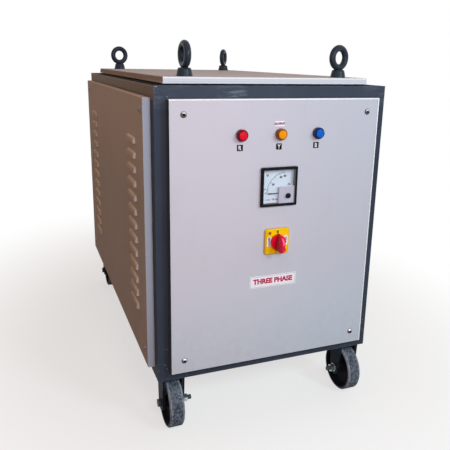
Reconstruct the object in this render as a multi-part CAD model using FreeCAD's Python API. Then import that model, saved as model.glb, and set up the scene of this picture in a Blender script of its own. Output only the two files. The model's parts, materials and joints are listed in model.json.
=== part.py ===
import FreeCAD, Part
import math
import os

# Three-phase motor-driven variable autotransformer in a wheeled steel cabinet.
# Millimetres. +Z is up, -Y is the front, and the origin is on the floor under the
# middle of the cabinet. Each sub-part is written as one STEP file.

V = FreeCAD.Vector
X_AXIS = V(1, 0, 0)
Y_AXIS = V(0, 1, 0)
Z_AXIS = V(0, 0, 1)
FRONT = V(0, -1, 0)
BACK = V(0, 1, 0)
UP = V(0, 0, 1)

# Welded cabinet frame
FRAME_WIDTH = 600.0
FRAME_DEPTH = 1056.0
FRAME_HEIGHT = 725.0
TUBE = 50.0
TUBE_WALL = 2.5

# Folded sheet panels
SHEET = 1.6
BEND_RADIUS = 2.2
FRONT_PROUD = 20.0
FRONT_MARGIN_SIDE = 29.5
FRONT_MARGIN_TOP = 29.0
FRONT_MARGIN_BOTTOM = 28.0
SIDE_PROUD = 18.0
SIDE_MARGIN_FRONT = 35.0
SIDE_MARGIN_REAR = 23.0
SIDE_MARGIN_TOP = 28.0
SIDE_MARGIN_BOTTOM = 26.0
COVER_INSET_SIDE = 31.0
COVER_INSET_FRONT = 38.0
COVER_INSET_REAR = 34.5
COVER_GAP = 2.4
COVER_FLANGE = 15.4
BASE_SHEET = 4.0
BASE_SHEET_BEARING = 12.0

# Panel screws and the tabs that they go into
SCREW_RADIUS = 3.0
SCREW_HEAD_RADIUS = 7.5
SCREW_HEAD_HEIGHT = 4.0
SCREW_GRIP = 8.0
SCREW_SLOT_WIDTH = 1.5
SCREW_SLOT_LENGTH = 8.0
SCREW_SLOT_DEPTH = 2.2
SCREW_HOLE_GAP = 0.1
TAB_SHEET = 3.0
TAB_REACH = 15.0
TAB_BOSS_RADIUS = 7.0
SCREW_TO_POST = 12.0
SCREW_TO_TOP_RAIL = 12.0
SCREW_TO_BASE_RAIL = 10.0
SIDE_SCREW_TO_FRONT_POST = 10.0
SIDE_SCREW_TO_REAR_POST = 26.0
SIDE_SCREW_TO_TOP_RAIL = 9.0
SIDE_SCREW_TO_BASE_RAIL = 15.0

# Cooling louvres in the side panels
LOUVRE_LENGTH = 98.0
LOUVRE_HEIGHT = 15.0
LOUVRE_DEPTH = 7.0
LOUVRE_SHOULDER_OUT = 0.78
LOUVRE_SHOULDER_UP = 0.62
LOUVRE_PITCH = 36.1
LOUVRE_ROWS = 13
LOUVRE_TOP_INSET = 100.5
LOUVRE_FRONT_INSET = 136.0
LOUVRE_REAR_INSET = 182.0

# Lifting eyes and the bars that they screw into
EYE_RING_OUTER = 65.0
EYE_RING_SECTION = 16.5
EYE_HEIGHT = 82.0
EYE_COLLAR_RADIUS = 20.0
EYE_NECK_RADIUS = 15.5
EYE_NECK_ROUND = 6.0
EYE_NECK_BLEND = 3.0
EYE_SHANK_RADIUS = 8.0
EYE_SHANK_TAIL = 6.0
EYE_SIDE_INSET = 93.0
EYE_FRONT_INSET = 79.0
EYE_REAR_INSET = 106.0
EYE_TURNS = {"front_left": 92.5, "front_right": 17.0, "rear_left": 13.0, "rear_right": 55.0}
LIFT_BAR_WIDTH = 60.0
LIFT_BAR_BEARING = 15.0
THREAD_GAP = 0.05

# Fixed castors
WHEEL_RADIUS = 65.0
WHEEL_HEADROOM = 8.0
WHEEL_WIDTH = 38.0
WHEEL_RIM = 11.0
WHEEL_WEB = 9.0
WHEEL_HUB_RADIUS = 17.0
WHEEL_EDGE = 3.0
WHEEL_DRAFT = 2.75
CASTOR_INSET_X = 41.4
CASTOR_INSET_Y = 34.0
FORK_INNER = 44.0
FORK_LEG = 7.0
FORK_PLATE = 8.0
FORK_TOP_WIDTH = 50.0
FORK_FOOT_RADIUS = 20.0
AXLE_RADIUS = 6.0
AXLE_GAP = 0.05
SIDE_GAP = 0.3
AXLE_HEX = 19.0
AXLE_HEAD = 7.5
AXLE_NUT = 10.0
AXLE_TIP = 11.0
WASHER_RADIUS = 12.0
WASHER_THICKNESS = 2.5

# Pilot lamps
LAMP_PITCH = 100.0
LAMP_DROP = 82.0
LAMP_BEZEL_RADIUS = 13.6
LAMP_BEZEL_DEPTH = 11.0
LAMP_BEZEL_ROUND = 1.5
LAMP_SEAT = 1.0
LAMP_LENS_RADIUS = 11.5
LAMP_LENS_PROUD = 15.0
LAMP_LENS_DOME = 2.0
LAMP_BARREL_RADIUS = 11.0
LAMP_BARREL = 34.0
LAMP_NUT_RADIUS = 14.5
LAMP_NUT = 5.0
PANEL_HOLE_GAP = 0.2

# Panel voltmeter
METER_SIZE = 96.0
METER_DROP = 209.0
METER_PROUD = 8.0
METER_CORNER = 2.0
METER_BEZEL_WIDTH = 6.0
METER_BODY_STEP = 2.5
METER_BODY_DEPTH = 45.0
METER_CAVITY = 14.0
METER_GLASS = 1.5
METER_GLASS_RECESS = 0.8
METER_DIAL = 1.0
METER_PIVOT_INSET_X = 18.0
METER_PIVOT_INSET_Z = 19.0
METER_PIN_RADIUS = 1.0
METER_HUB_SIZE = 41.0
METER_HUB_WALL = 1.5
METER_HUB_HEIGHT = 9.0
METER_HUB_SKIRT = 4.0
POINTER_END_GAP = 10.0
POINTER_TAIL = 12.0
POINTER_WIDTH = 2.6
POINTER_THICKNESS = 0.8
POINTER_LIFT = 2.0
POINTER_HUB_RADIUS = 4.0
POINTER_HUB_HEIGHT = 2.5
ZERO_HEAD_RADIUS = 6.5
ZERO_HEAD_HEIGHT = 1.6
ZERO_STEM_RADIUS = 3.0
ZERO_SLOT_WIDTH = 1.4
SMALL_FIT = 0.05

# Raise and lower switch
SWITCH_DROP = 348.0
SWITCH_PLATE = 65.0
SWITCH_PLATE_DEPTH = 7.0
SWITCH_PLATE_CORNER = 5.0
SWITCH_PLATE_ROUND = 1.75
KNOB_RADIUS = 20.0
KNOB_BASE = 9.0
KNOB_PROUD = 35.0
KNOB_GRIP_WIDTH = 17.0
KNOB_GRIP_LENGTH = 45.0
KNOB_GRIP_ROUND = 5.0
SPINDLE_RADIUS = 4.0
SPINDLE_HOLE = 6.0
SPINDLE_END_GAP = 12.0
CAM_BLOCK = 48.0
CAM_BLOCK_DEPTH = 62.0

# Labels on the front
LABEL_THICKNESS = 0.5
LETTER_PLATE = 14.5
LETTER_DROP = 111.5
LETTER_SHIFT = -3.0
CAPTION_WIDTH = 25.0
CAPTION_HEIGHT = 12.5
CAPTION_DROP = 57.5
NAME_LABEL_WIDTH = 128.5
NAME_LABEL_HEIGHT = 32.0
NAME_LABEL_X = -5.0
NAME_LABEL_DROP = 453.0

# Stack of three toroidal coils
STACK_Y = 90.0
COIL_COUNT = 3
STACK_HEADROOM = 144.0
COIL_OUTER = 180.0
COIL_INNER = 80.0
COIL_TO_SPACER = 13.0
WINDING_WALL = 15.0
WINDING_GAP_ANGLE = 20.0
STACK_PLATE_EDGE = 17.0
SUPPORT_THICKNESS = 6.0
SUPPORT_HOLE_GAP = 9.0
END_FRAME = 12.0
END_FRAME_FEET = 20.0
FOOT_SIZE = 50.0
FOOT_INSET = 42.0
TIE_RADIUS = 7.0
TIE_COUNT = 4
TIE_NUT = 9.0
TIE_NUT_HEX = 21.0
TIE_TIP = 4.0
SPACER_RADIUS = 12.0
ROD_HOLE_GAP = 0.1

# Brush shaft
SHAFT_RADIUS = 15.0
SHAFT_TOP_RISE = 60.0
SHAFT_FOOT_GAP = 3.0
BEARING_WALL = 11.0
BEARING_HEIGHT = 16.0
BEARING_BOSS_WALL = 10.0
BEARING_INSET = 6.0
BEARING_GAP = 0.05
HUB_WALL = 15.0
ARM_HUB_BELOW = 4.0
ARM_LIFT = 12.0
ARM_THICKNESS = 8.0
ARM_WIDTH = 40.0
ARM_OVERHANG = 20.0
ARM_ROUND = 13.0
BRUSH_LENGTH = 34.0
BRUSH_WIDTH = 14.0
BRUSH_GAP = 0.3
BRUSH_SWEEP = 318.0
RING_WALL = 19.0
RING_HEIGHT = 8.0
STRAP_WIDTH = 16.0
STRAP_THICKNESS = 4.0
STRAP_OVERHANG = 6.0
STRAP_HEADROOM = 21.0
INSULATOR_RADIUS = 8.0
INSULATOR_INSET = 22.0

# Motor drive
GEAR_MODULE = 3.0
GEAR_TEETH = 80
PINION_TEETH = 20
GEAR_WIDTH = 20.0
GEAR_HUB_GAP = 2.0
GEAR_HUB_DROP = 5.0
GEAR_BACKLASH = 0.3
PRESSURE_ANGLE = 20.0
DEDENDUM = 1.25
FLANK_STEPS = 6
CAM_LENGTH = 66.0
CAM_WIDTH = 12.0
LIMIT_SWITCH_GAP = 4.0
LIMIT_SWITCH_SIZE = 20.0
MOTOR_SHAFT_RADIUS = 6.0
MOTOR_PLATE = 6.0
MOTOR_PLATE_RISE = 51.0
MOTOR_PLATE_HOLE = 10.0
MOTOR_LEG_RADIUS = 8.0
MOTOR_LEG_SPREAD = 70.0
MOTOR_LEG_REACH = 52.0
GEARBOX_SIZE = 84.0
GEARBOX_HEIGHT = 30.0
GEARBOX_ROUND = 8.0
GEARBOX_SOCKET = 22.0
MOTOR_SHAFT_REACH = 15.0
MOTOR_RADIUS = 34.0
MOTOR_HEIGHT = 38.0

# Terminals, cable glands and earth stud
BOARD_WIDTH = 380.0
BOARD_HEIGHT = 140.0
BOARD_THICKNESS = 10.0
BOARD_INSET = 82.0
STUD_COUNT = 7
STUD_PITCH = 50.0
STUD_RADIUS = 5.0
STUD_REACH = 22.0
STUD_RISE = 90.0
STUD_HEX = 17.0
STUD_NUT = 8.0
GLAND_X = 120.0
GLAND_RISE = 76.0
GLAND_THREAD_RADIUS = 20.0
GLAND_BORE_RADIUS = 14.0
GLAND_HEX = 50.0
GLAND_DOME_RADIUS = 24.0
GLAND_FLANGE = 12.0
GLAND_PROUD = 35.0
GLAND_TAIL = 14.0
GLAND_NUT = 7.0
EARTH_RISE = 41.0
EARTH_RADIUS = 5.0
EARTH_PROUD = 28.0
EARTH_COLLAR = 8.0
EARTH_TAIL = 2.0

# Planes and levels that the rest is placed on
FRAME_LIFT = 2 * WHEEL_RADIUS + WHEEL_HEADROOM + FORK_PLATE
HALF_WIDTH = FRAME_WIDTH / 2
HALF_DEPTH = FRAME_DEPTH / 2
FRAME_TOP = FRAME_LIFT + FRAME_HEIGHT
BASE_RAIL_TOP = FRAME_LIFT + TUBE
TOP_RAIL_BOTTOM = FRAME_TOP - TUBE
FRONT_FACE = -HALF_DEPTH - FRONT_PROUD
REAR_FACE = HALF_DEPTH + FRONT_PROUD
COVER_BOTTOM = FRAME_TOP + COVER_GAP
COVER_TOP = COVER_BOTTOM + COVER_FLANGE
PANEL_LEFT = -HALF_WIDTH + FRONT_MARGIN_SIDE
PANEL_RIGHT = HALF_WIDTH - FRONT_MARGIN_SIDE
PANEL_BOTTOM = FRAME_LIFT + FRONT_MARGIN_BOTTOM
PANEL_TOP = FRAME_TOP - FRONT_MARGIN_TOP
SIDE_FRONT = -HALF_DEPTH + SIDE_MARGIN_FRONT
SIDE_REAR = HALF_DEPTH - SIDE_MARGIN_REAR
SIDE_BOTTOM = FRAME_LIFT + SIDE_MARGIN_BOTTOM
SIDE_TOP = FRAME_TOP - SIDE_MARGIN_TOP
METER_WINDOW = METER_SIZE - 2 * METER_BEZEL_WIDTH
METER_BODY = METER_SIZE - 2 * METER_BODY_STEP
LAMP_Z = PANEL_TOP - LAMP_DROP
METER_Z = PANEL_TOP - METER_DROP
SWITCH_Z = PANEL_TOP - SWITCH_DROP
BASE_TOP = BASE_RAIL_TOP + BASE_SHEET
LOWER_FRAME_Z = BASE_TOP + END_FRAME_FEET
STACK_BASE = LOWER_FRAME_Z + END_FRAME
UPPER_FRAME_Z = FRAME_TOP - STACK_HEADROOM
COIL_PITCH = (UPPER_FRAME_Z - STACK_BASE) / COIL_COUNT
COIL_HEIGHT = COIL_PITCH - SUPPORT_THICKNESS - ARM_LIFT - ARM_THICKNESS - RING_HEIGHT - STRAP_HEADROOM
TIE_CIRCLE = COIL_OUTER + COIL_TO_SPACER + SPACER_RADIUS
STACK_PLATE_RADIUS = TIE_CIRCLE + STACK_PLATE_EDGE
FOOT_CIRCLE = STACK_PLATE_RADIUS - FOOT_INSET
INSULATOR_CIRCLE = STACK_PLATE_RADIUS - INSULATOR_INSET
STRAP_REACH = STACK_PLATE_RADIUS + STRAP_OVERHANG
BRUSH_CIRCLE = (COIL_OUTER + COIL_INNER) / 2
ARM_LENGTH = BRUSH_CIRCLE + ARM_OVERHANG
UPPER_FRAME_TOP = UPPER_FRAME_Z + END_FRAME
STACK_AXIS = V(0, STACK_Y, 0)
BOSS_HEIGHT = BEARING_HEIGHT - BEARING_INSET
BEARING_OUTER = SHAFT_RADIUS + BEARING_WALL
BEARING_BOSS = BEARING_OUTER + BEARING_BOSS_WALL
HUB_RADIUS = SHAFT_RADIUS + HUB_WALL
RING_RADIUS = SHAFT_RADIUS + RING_WALL
ARM_START_ANGLE = -90.0 + (360.0 - BRUSH_SWEEP) / 2


# Shape helpers
def box(x0, x1, y0, y1, z0, z1):
    """A block between two opposite corners."""
    return Part.makeBox(x1 - x0, y1 - y0, z1 - z0, V(x0, y0, z0))


def rod(radius, start, direction, length):
    """A cylinder from a point along a direction."""
    return Part.makeCylinder(radius, length, start, direction)


def tube(outer, inner, start, direction, length):
    """A cylinder with a bore right through it."""
    return rod(outer, start, direction, length).cut(rod(inner, start, direction, length))


def hexagon(across_flats, start, direction, length):
    """A six-sided prism, as of a bolt head or a nut."""
    corner = across_flats / math.sqrt(3)
    points = [V(corner * math.cos(math.radians(60 * i)), corner * math.sin(math.radians(60 * i)), 0)
              for i in range(7)]
    prism = Part.Face(Part.makePolygon(points)).extrude(V(0, 0, length))
    return aim(prism, start, direction)


def nut(across_flats, bore, start, direction, length):
    """A hexagon nut, with its bore."""
    return hexagon(across_flats, start, direction, length).cut(rod(bore, start, direction, length))


def aim(shape, start, direction):
    """Turns a shape's own +Z to a direction, and moves its origin to a point."""
    placed = shape.copy()
    placed.Placement = FreeCAD.Placement(start, FreeCAD.Rotation(UP, direction))
    return placed


def turned(shape, axis_point, angle):
    """A copy turned about a vertical axis."""
    copy = shape.copy()
    copy.rotate(axis_point, UP, angle)
    return copy


def spun(points, axis=UP):
    """A closed outline of (radius, height) points spun once round an axis."""
    outline = [V(radius, 0, height) for radius, height in points]
    outline.append(outline[0])
    solid = Part.Face(Part.makePolygon(outline)).revolve(V(0, 0, 0), UP, 360)
    return aim(solid, V(0, 0, 0), axis)


def fuse_all(shapes):
    """One solid from shapes that overlap or share faces."""
    return shapes[0].fuse(shapes[1:]).removeSplitter()


def edges_where(shape, test):
    """The edges whose every vertex passes a test."""
    return [edge for edge in shape.Edges if all(test(vertex.Point) for vertex in edge.Vertexes)]


def edges_along(shape, axis):
    """The straight edges that run along an axis."""
    found = []
    for edge in shape.Edges:
        ends = [vertex.Point for vertex in edge.Vertexes]
        if len(ends) == 2 and (ends[1] - ends[0]).cross(axis).Length < 0.01:
            found.append(edge)
    return found


def circles_at(shape, centre):
    """The round edges whose centre is at a point."""
    return [edge for edge in shape.Edges
            if isinstance(edge.Curve, Part.Circle) and edge.Curve.Center.isEqual(centre, 0.01)]


def square_tube(length_axis, low, high):
    """A hollow square frame tube, open at both ends, between two corners."""
    wall = V(TUBE_WALL, TUBE_WALL, TUBE_WALL)
    bore_low = low + wall - length_axis * (2 * TUBE_WALL)
    bore_high = high - wall + length_axis * (2 * TUBE_WALL)
    outer = box(low.x, high.x, low.y, high.y, low.z, high.z)
    return outer.cut(box(bore_low.x, bore_high.x, bore_low.y, bore_high.y, bore_low.z, bore_high.z))


def tray(low, high, face):
    """A folded sheet tray whose outer face looks along `face`, with flanges behind it."""
    outer = box(low.x, high.x, low.y, high.y, low.z, high.z)
    corner = high if face.x + face.y + face.z > 0 else low
    level = corner.dot(face)
    outer = outer.makeFillet(BEND_RADIUS, edges_where(outer, lambda p: abs(p.dot(face) - level) < 0.01))
    skin = V(SHEET, SHEET, SHEET)
    inside_low = low + skin
    inside_high = high - skin
    back = V(abs(face.x), abs(face.y), abs(face.z)) * SHEET
    if corner == high:
        inside_low = inside_low - back
    else:
        inside_high = inside_high + back
    return outer.cut(box(inside_low.x, inside_high.x, inside_low.y, inside_high.y,
                         inside_low.z, inside_high.z))


# Cabinet frame
def frame_posts():
    posts = []
    for x in (-HALF_WIDTH, HALF_WIDTH - TUBE):
        for y in (-HALF_DEPTH, HALF_DEPTH - TUBE):
            posts.append(square_tube(Z_AXIS, V(x, y, BASE_RAIL_TOP), V(x + TUBE, y + TUBE, TOP_RAIL_BOTTOM)))
    return posts


def mitred_rail(outline, bore_low, bore_high, bottom):
    """A rail with mitred ends: its plan outline is extruded, and its bore is cut out."""
    corners = [V(x, y, bottom) for x, y in outline]
    rail = Part.Face(Part.makePolygon(corners + corners[:1])).extrude(V(0, 0, TUBE))
    return rail.cut(box(bore_low[0], bore_high[0], bore_low[1], bore_high[1],
                        bottom + TUBE_WALL, bottom + TUBE - TUBE_WALL))


def side_rails(bottom):
    """Full-length rails, mitred to the end rails."""
    rails = []
    for side in (-1, 1):
        outer_x = side * HALF_WIDTH
        inner_x = side * (HALF_WIDTH - TUBE)
        inner_y = HALF_DEPTH - TUBE
        outline = [(outer_x, -HALF_DEPTH), (outer_x, HALF_DEPTH), (inner_x, inner_y), (inner_x, -inner_y)]
        bore_x = sorted((outer_x - side * TUBE_WALL, inner_x + side * TUBE_WALL))
        rails.append(mitred_rail(outline, (bore_x[0], -HALF_DEPTH), (bore_x[1], HALF_DEPTH), bottom))
    return rails


def end_rails(bottom):
    """Rails across the front and the rear, mitred to the side rails."""
    rails = []
    for end in (-1, 1):
        outer_y = end * HALF_DEPTH
        inner_y = end * (HALF_DEPTH - TUBE)
        inner_x = HALF_WIDTH - TUBE
        outline = [(-HALF_WIDTH, outer_y), (HALF_WIDTH, outer_y), (inner_x, inner_y), (-inner_x, inner_y)]
        bore_y = sorted((outer_y - end * TUBE_WALL, inner_y + end * TUBE_WALL))
        rails.append(mitred_rail(outline, (-HALF_WIDTH, bore_y[0]), (HALF_WIDTH, bore_y[1]), bottom))
    return rails


def stack_rails():
    """Cross rails under the coil stack's feet, between the side rails."""
    inner = HALF_WIDTH - TUBE
    return [square_tube(X_AXIS, V(-inner, y - TUBE / 2, FRAME_LIFT), V(inner, y + TUBE / 2, BASE_RAIL_TOP))
            for y in (STACK_Y - FOOT_CIRCLE, STACK_Y + FOOT_CIRCLE)]


def base_plate():
    half = HALF_WIDTH - TUBE + BASE_SHEET_BEARING
    reach = HALF_DEPTH - TUBE - BASE_SHEET_BEARING
    return [box(-half, half, -reach, reach, BASE_RAIL_TOP, BASE_TOP)]


def eye_places():
    """Name, x and y of each lifting eye."""
    x = HALF_WIDTH - EYE_SIDE_INSET
    front = -HALF_DEPTH + EYE_FRONT_INSET
    rear = HALF_DEPTH - EYE_REAR_INSET
    return [("front_left", -x, front), ("front_right", x, front),
            ("rear_left", -x, rear), ("rear_right", x, rear)]


def lifting_bars():
    """Flat bars on the top rails: the cover rests on them and the eyes screw into them."""
    half = HALF_WIDTH - TUBE + LIFT_BAR_BEARING
    top = COVER_TOP - SHEET
    bars = []
    for row in sorted({place[2] for place in eye_places()}):
        bar = box(-half, half, row - LIFT_BAR_WIDTH / 2, row + LIFT_BAR_WIDTH / 2, FRAME_TOP, top)
        for name, x, y in eye_places():
            bar = bar.cut(rod(EYE_SHANK_RADIUS + THREAD_GAP, V(x, y, FRAME_TOP), UP, top - FRAME_TOP))
        bars.append(bar)
    return bars


# Panels, with their screws and tabs
def front_screw_places():
    """x and z of the four screws of the front panel and of the rear panel."""
    x = HALF_WIDTH - TUBE - SCREW_TO_POST
    return [(side * x, z) for side in (-1, 1)
            for z in (BASE_RAIL_TOP + SCREW_TO_BASE_RAIL, TOP_RAIL_BOTTOM - SCREW_TO_TOP_RAIL)]


def side_screw_places():
    """y and z of the four screws of a side panel."""
    post = HALF_DEPTH - TUBE
    return [(y, z) for y in (SIDE_SCREW_TO_FRONT_POST - post, post - SIDE_SCREW_TO_REAR_POST)
            for z in (BASE_RAIL_TOP + SIDE_SCREW_TO_BASE_RAIL, TOP_RAIL_BOTTOM - SIDE_SCREW_TO_TOP_RAIL)]


def all_screws():
    """Point on the panel's outer face, and outward direction, of each panel screw."""
    places = [(V(x, FRONT_FACE, z), FRONT) for x, z in front_screw_places()]
    places += [(V(x, REAR_FACE, z), BACK) for x, z in front_screw_places()]
    for side in (-1, 1):
        places += [(V(side * (HALF_WIDTH + SIDE_PROUD), y, z), V(side, 0, 0))
                   for y, z in side_screw_places()]
    return places


def drilled(panel, places, thickness):
    """Cuts the screw holes through a panel."""
    for point, outward in places:
        panel = panel.cut(rod(SCREW_RADIUS + SCREW_HOLE_GAP, point, -outward, thickness))
    return panel


def screws_facing(outward):
    return [place for place in all_screws() if place[1].isEqual(outward, 0.01)]


def panel_screw(grip):
    """A cross-slotted dome screw, with its head above z = 0 and its shank below."""
    dome_radius = (SCREW_HEAD_RADIUS ** 2 + SCREW_HEAD_HEIGHT ** 2) / (2 * SCREW_HEAD_HEIGHT)
    ball = Part.makeSphere(dome_radius, V(0, 0, SCREW_HEAD_HEIGHT - dome_radius))
    head = ball.common(box(-dome_radius, dome_radius, -dome_radius, dome_radius, 0, dome_radius))
    length = SCREW_SLOT_LENGTH / 2
    half = SCREW_SLOT_WIDTH / 2
    for turn in (45, 135):
        slot = box(-length, length, -half, half, SCREW_HEAD_HEIGHT - SCREW_SLOT_DEPTH, 2 * SCREW_HEAD_HEIGHT)
        head = head.cut(turned(slot, V(0, 0, 0), turn))
    return head.fuse(rod(SCREW_RADIUS, V(0, 0, 0), -UP, grip)).removeSplitter()


def panel_screws():
    screws = []
    for point, outward in all_screws():
        proud = SIDE_PROUD if abs(outward.x) > 0.5 else FRONT_PROUD
        screws.append(aim(panel_screw(proud + SCREW_GRIP), point, outward))
    return screws


def panel_fixing_tabs():
    """Tabs welded beside the posts, each with a boss that reaches the panel."""
    tabs = []
    inner_x = HALF_WIDTH - TUBE
    inner_y = HALF_DEPTH - TUBE
    for point, outward in all_screws():
        low_tab = point.z < (BASE_RAIL_TOP + TOP_RAIL_BOTTOM) / 2
        z0 = BASE_RAIL_TOP if low_tab else point.z - TAB_REACH
        z1 = point.z + TAB_REACH if low_tab else TOP_RAIL_BOTTOM
        if abs(outward.x) > 0.5:
            proud = SIDE_PROUD
            x = sorted((outward.x * HALF_WIDTH, outward.x * (HALF_WIDTH - TAB_SHEET)))
            end = -inner_y if point.y < 0 else inner_y
            reach = point.y + TAB_REACH if point.y < 0 else point.y - TAB_REACH
            y = sorted((end, reach))
        else:
            proud = FRONT_PROUD
            y = sorted((outward.y * HALF_DEPTH, outward.y * (HALF_DEPTH - TAB_SHEET)))
            side = 1 if point.x > 0 else -1
            x = sorted((side * inner_x, point.x - side * TAB_REACH))
        plate = box(x[0], x[1], y[0], y[1], z0, z1)
        boss = rod(TAB_BOSS_RADIUS, point - outward * SHEET, -outward, proud - SHEET)
        hole = rod(SCREW_RADIUS + SCREW_HOLE_GAP, point, -outward, proud + SCREW_GRIP)
        tabs.append(plate.fuse(boss).removeSplitter().cut(hole))
    return tabs


def front_panel():
    panel = tray(V(PANEL_LEFT, FRONT_FACE, PANEL_BOTTOM), V(PANEL_RIGHT, -HALF_DEPTH, PANEL_TOP), FRONT)
    panel = drilled(panel, screws_facing(FRONT), FRONT_PROUD)
    for x in lamp_columns():
        start = V(x, FRONT_FACE, LAMP_Z)
        panel = panel.cut(rod(LAMP_BARREL_RADIUS + PANEL_HOLE_GAP, start, BACK, FRONT_PROUD))
    half = METER_BODY / 2 + PANEL_HOLE_GAP
    panel = panel.cut(box(-half, half, FRONT_FACE, -HALF_DEPTH, METER_Z - half, METER_Z + half))
    panel = panel.cut(rod(SPINDLE_HOLE, V(0, FRONT_FACE, SWITCH_Z), BACK, FRONT_PROUD))
    return [panel]


def rear_panel():
    panel = tray(V(PANEL_LEFT, HALF_DEPTH, PANEL_BOTTOM), V(PANEL_RIGHT, REAR_FACE, PANEL_TOP), BACK)
    panel = drilled(panel, screws_facing(BACK), FRONT_PROUD)
    for x in (-GLAND_X, GLAND_X):
        start = V(x, REAR_FACE, PANEL_BOTTOM + GLAND_RISE)
        panel = panel.cut(rod(GLAND_THREAD_RADIUS + PANEL_HOLE_GAP, start, FRONT, FRONT_PROUD))
    start = V(0, REAR_FACE, PANEL_BOTTOM + EARTH_RISE)
    return [panel.cut(rod(EARTH_RADIUS + PANEL_HOLE_GAP, start, FRONT, FRONT_PROUD))]


def louvre_hood(length, height, depth):
    """A pressed hood, open below: it grows out towards -Y from the plane y = 0."""
    shoulder = V(0, -depth * LOUVRE_SHOULDER_OUT, height * LOUVRE_SHOULDER_UP)
    arc = Part.Arc(V(0, -depth, 0), shoulder, V(0, 0, height)).toShape()
    floor = Part.LineSegment(V(0, 0, 0), V(0, -depth, 0)).toShape()
    wall = Part.LineSegment(V(0, 0, height), V(0, 0, 0)).toShape()
    face = Part.Face(Part.Wire([floor, arc, wall]))
    straight = length - 2 * depth
    middle = face.extrude(V(straight, 0, 0))
    left = face.revolve(V(0, 0, 0), UP, -90)
    right = face.revolve(V(0, 0, 0), UP, 90)
    right.translate(V(straight, 0, 0))
    hood = fuse_all([middle, left, right])
    hood.translate(V(-straight / 2, 0, 0))
    return hood


def louvre_places():
    """y and z of the lower middle of each louvre of a side panel."""
    top = SIDE_TOP - LOUVRE_TOP_INSET - LOUVRE_HEIGHT
    columns = (SIDE_FRONT + LOUVRE_FRONT_INSET, SIDE_REAR - LOUVRE_REAR_INSET)
    return [(y, top - row * LOUVRE_PITCH) for y in columns for row in range(LOUVRE_ROWS)]


def side_panel(side):
    """side is -1 for the left panel and 1 for the right one."""
    outer_x = side * (HALF_WIDTH + SIDE_PROUD)
    x = sorted((side * HALF_WIDTH, outer_x))
    panel = tray(V(x[0], SIDE_FRONT, SIDE_BOTTOM), V(x[1], SIDE_REAR, SIDE_TOP), V(side, 0, 0))
    panel = drilled(panel, screws_facing(V(side, 0, 0)), SIDE_PROUD)
    hood = louvre_hood(LOUVRE_LENGTH, LOUVRE_HEIGHT, LOUVRE_DEPTH)
    hollow = louvre_hood(LOUVRE_LENGTH - 2 * SHEET, LOUVRE_HEIGHT - SHEET, LOUVRE_DEPTH - SHEET)
    half = LOUVRE_LENGTH / 2 - LOUVRE_DEPTH
    slot = box(-half, half, 0, SHEET, 0, LOUVRE_HEIGHT - 2 * SHEET)
    hoods = []
    hollows = []
    for y, z in louvre_places():
        for shape, group in ((hood, hoods), (hollow, hollows), (slot, hollows)):
            copy = turned(shape, V(0, 0, 0), 90 * side)
            copy.translate(V(outer_x, y, z))
            group.append(copy)
    return [panel.fuse(hoods).cut(hollows)]


def top_cover():
    cover = tray(V(-HALF_WIDTH + COVER_INSET_SIDE, -HALF_DEPTH + COVER_INSET_FRONT, COVER_BOTTOM),
                 V(HALF_WIDTH - COVER_INSET_SIDE, HALF_DEPTH - COVER_INSET_REAR, COVER_TOP), UP)
    for name, x, y in eye_places():
        cover = cover.cut(rod(EYE_SHANK_RADIUS + PANEL_HOLE_GAP, V(x, y, COVER_TOP), -UP, COVER_FLANGE))
    return [cover]


def lifting_eye():
    """An eye bolt with its collar on z = 0 and its ring in the XZ plane."""
    ring_radius = (EYE_RING_OUTER - EYE_RING_SECTION) / 2
    ring_centre = EYE_HEIGHT - EYE_RING_OUTER / 2
    ring = Part.makeTorus(ring_radius, EYE_RING_SECTION / 2, V(0, 0, ring_centre), Y_AXIS)
    shoulder = EYE_HEIGHT - EYE_RING_OUTER + EYE_NECK_BLEND
    collar = Part.makeCone(EYE_COLLAR_RADIUS, EYE_NECK_RADIUS, shoulder)
    collar = collar.makeFillet(EYE_NECK_ROUND, circles_at(collar, V(0, 0, shoulder)))
    shank = rod(EYE_SHANK_RADIUS, V(0, 0, 0), -UP, COVER_TOP - FRAME_TOP + EYE_SHANK_TAIL)
    return fuse_all([ring, collar, shank])


def lifting_eye_bolts():
    eye = lifting_eye()
    bolts = []
    for name, x, y in eye_places():
        bolt = turned(eye, V(0, 0, 0), EYE_TURNS[name])
        bolt.translate(V(x, y, COVER_TOP))
        bolts.append(bolt)
    return bolts


# Castors
def castor_places():
    """Name, x and y of each castor."""
    x = HALF_WIDTH - CASTOR_INSET_X
    y = HALF_DEPTH - CASTOR_INSET_Y
    return [("front_left", -x, -y), ("front_right", x, -y), ("rear_left", -x, y), ("rear_right", x, y)]


def fork_leg(x):
    """One side plate of a fork, from x outwards in +X, about the axle."""
    top = FRAME_LIFT - WHEEL_RADIUS - FORK_PLATE
    half = FORK_TOP_WIDTH / 2
    foot = FORK_FOOT_RADIUS
    blade = Part.Face(Part.makePolygon([V(x, -half, top), V(x, half, top), V(x, foot, 0),
                                        V(x, -foot, 0), V(x, -half, top)]))
    return blade.extrude(V(FORK_LEG, 0, 0)).fuse(rod(foot, V(x, 0, 0), X_AXIS, FORK_LEG))


def castor_fork():
    """A fork about its axle at the origin."""
    outer = FORK_INNER / 2 + FORK_LEG
    top = FRAME_LIFT - WHEEL_RADIUS
    crown = box(-outer, outer, -FORK_TOP_WIDTH / 2, FORK_TOP_WIDTH / 2, top - FORK_PLATE, top)
    fork = fuse_all([crown, fork_leg(-outer), fork_leg(FORK_INNER / 2)])
    return fork.cut(rod(AXLE_RADIUS + AXLE_GAP, V(-outer, 0, 0), X_AXIS, 2 * outer))


def castor_forks():
    fork = castor_fork()
    forks = []
    for name, x, y in castor_places():
        copy = fork.copy()
        copy.translate(V(x, y, WHEEL_RADIUS))
        forks.append(copy)
    return forks


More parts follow.
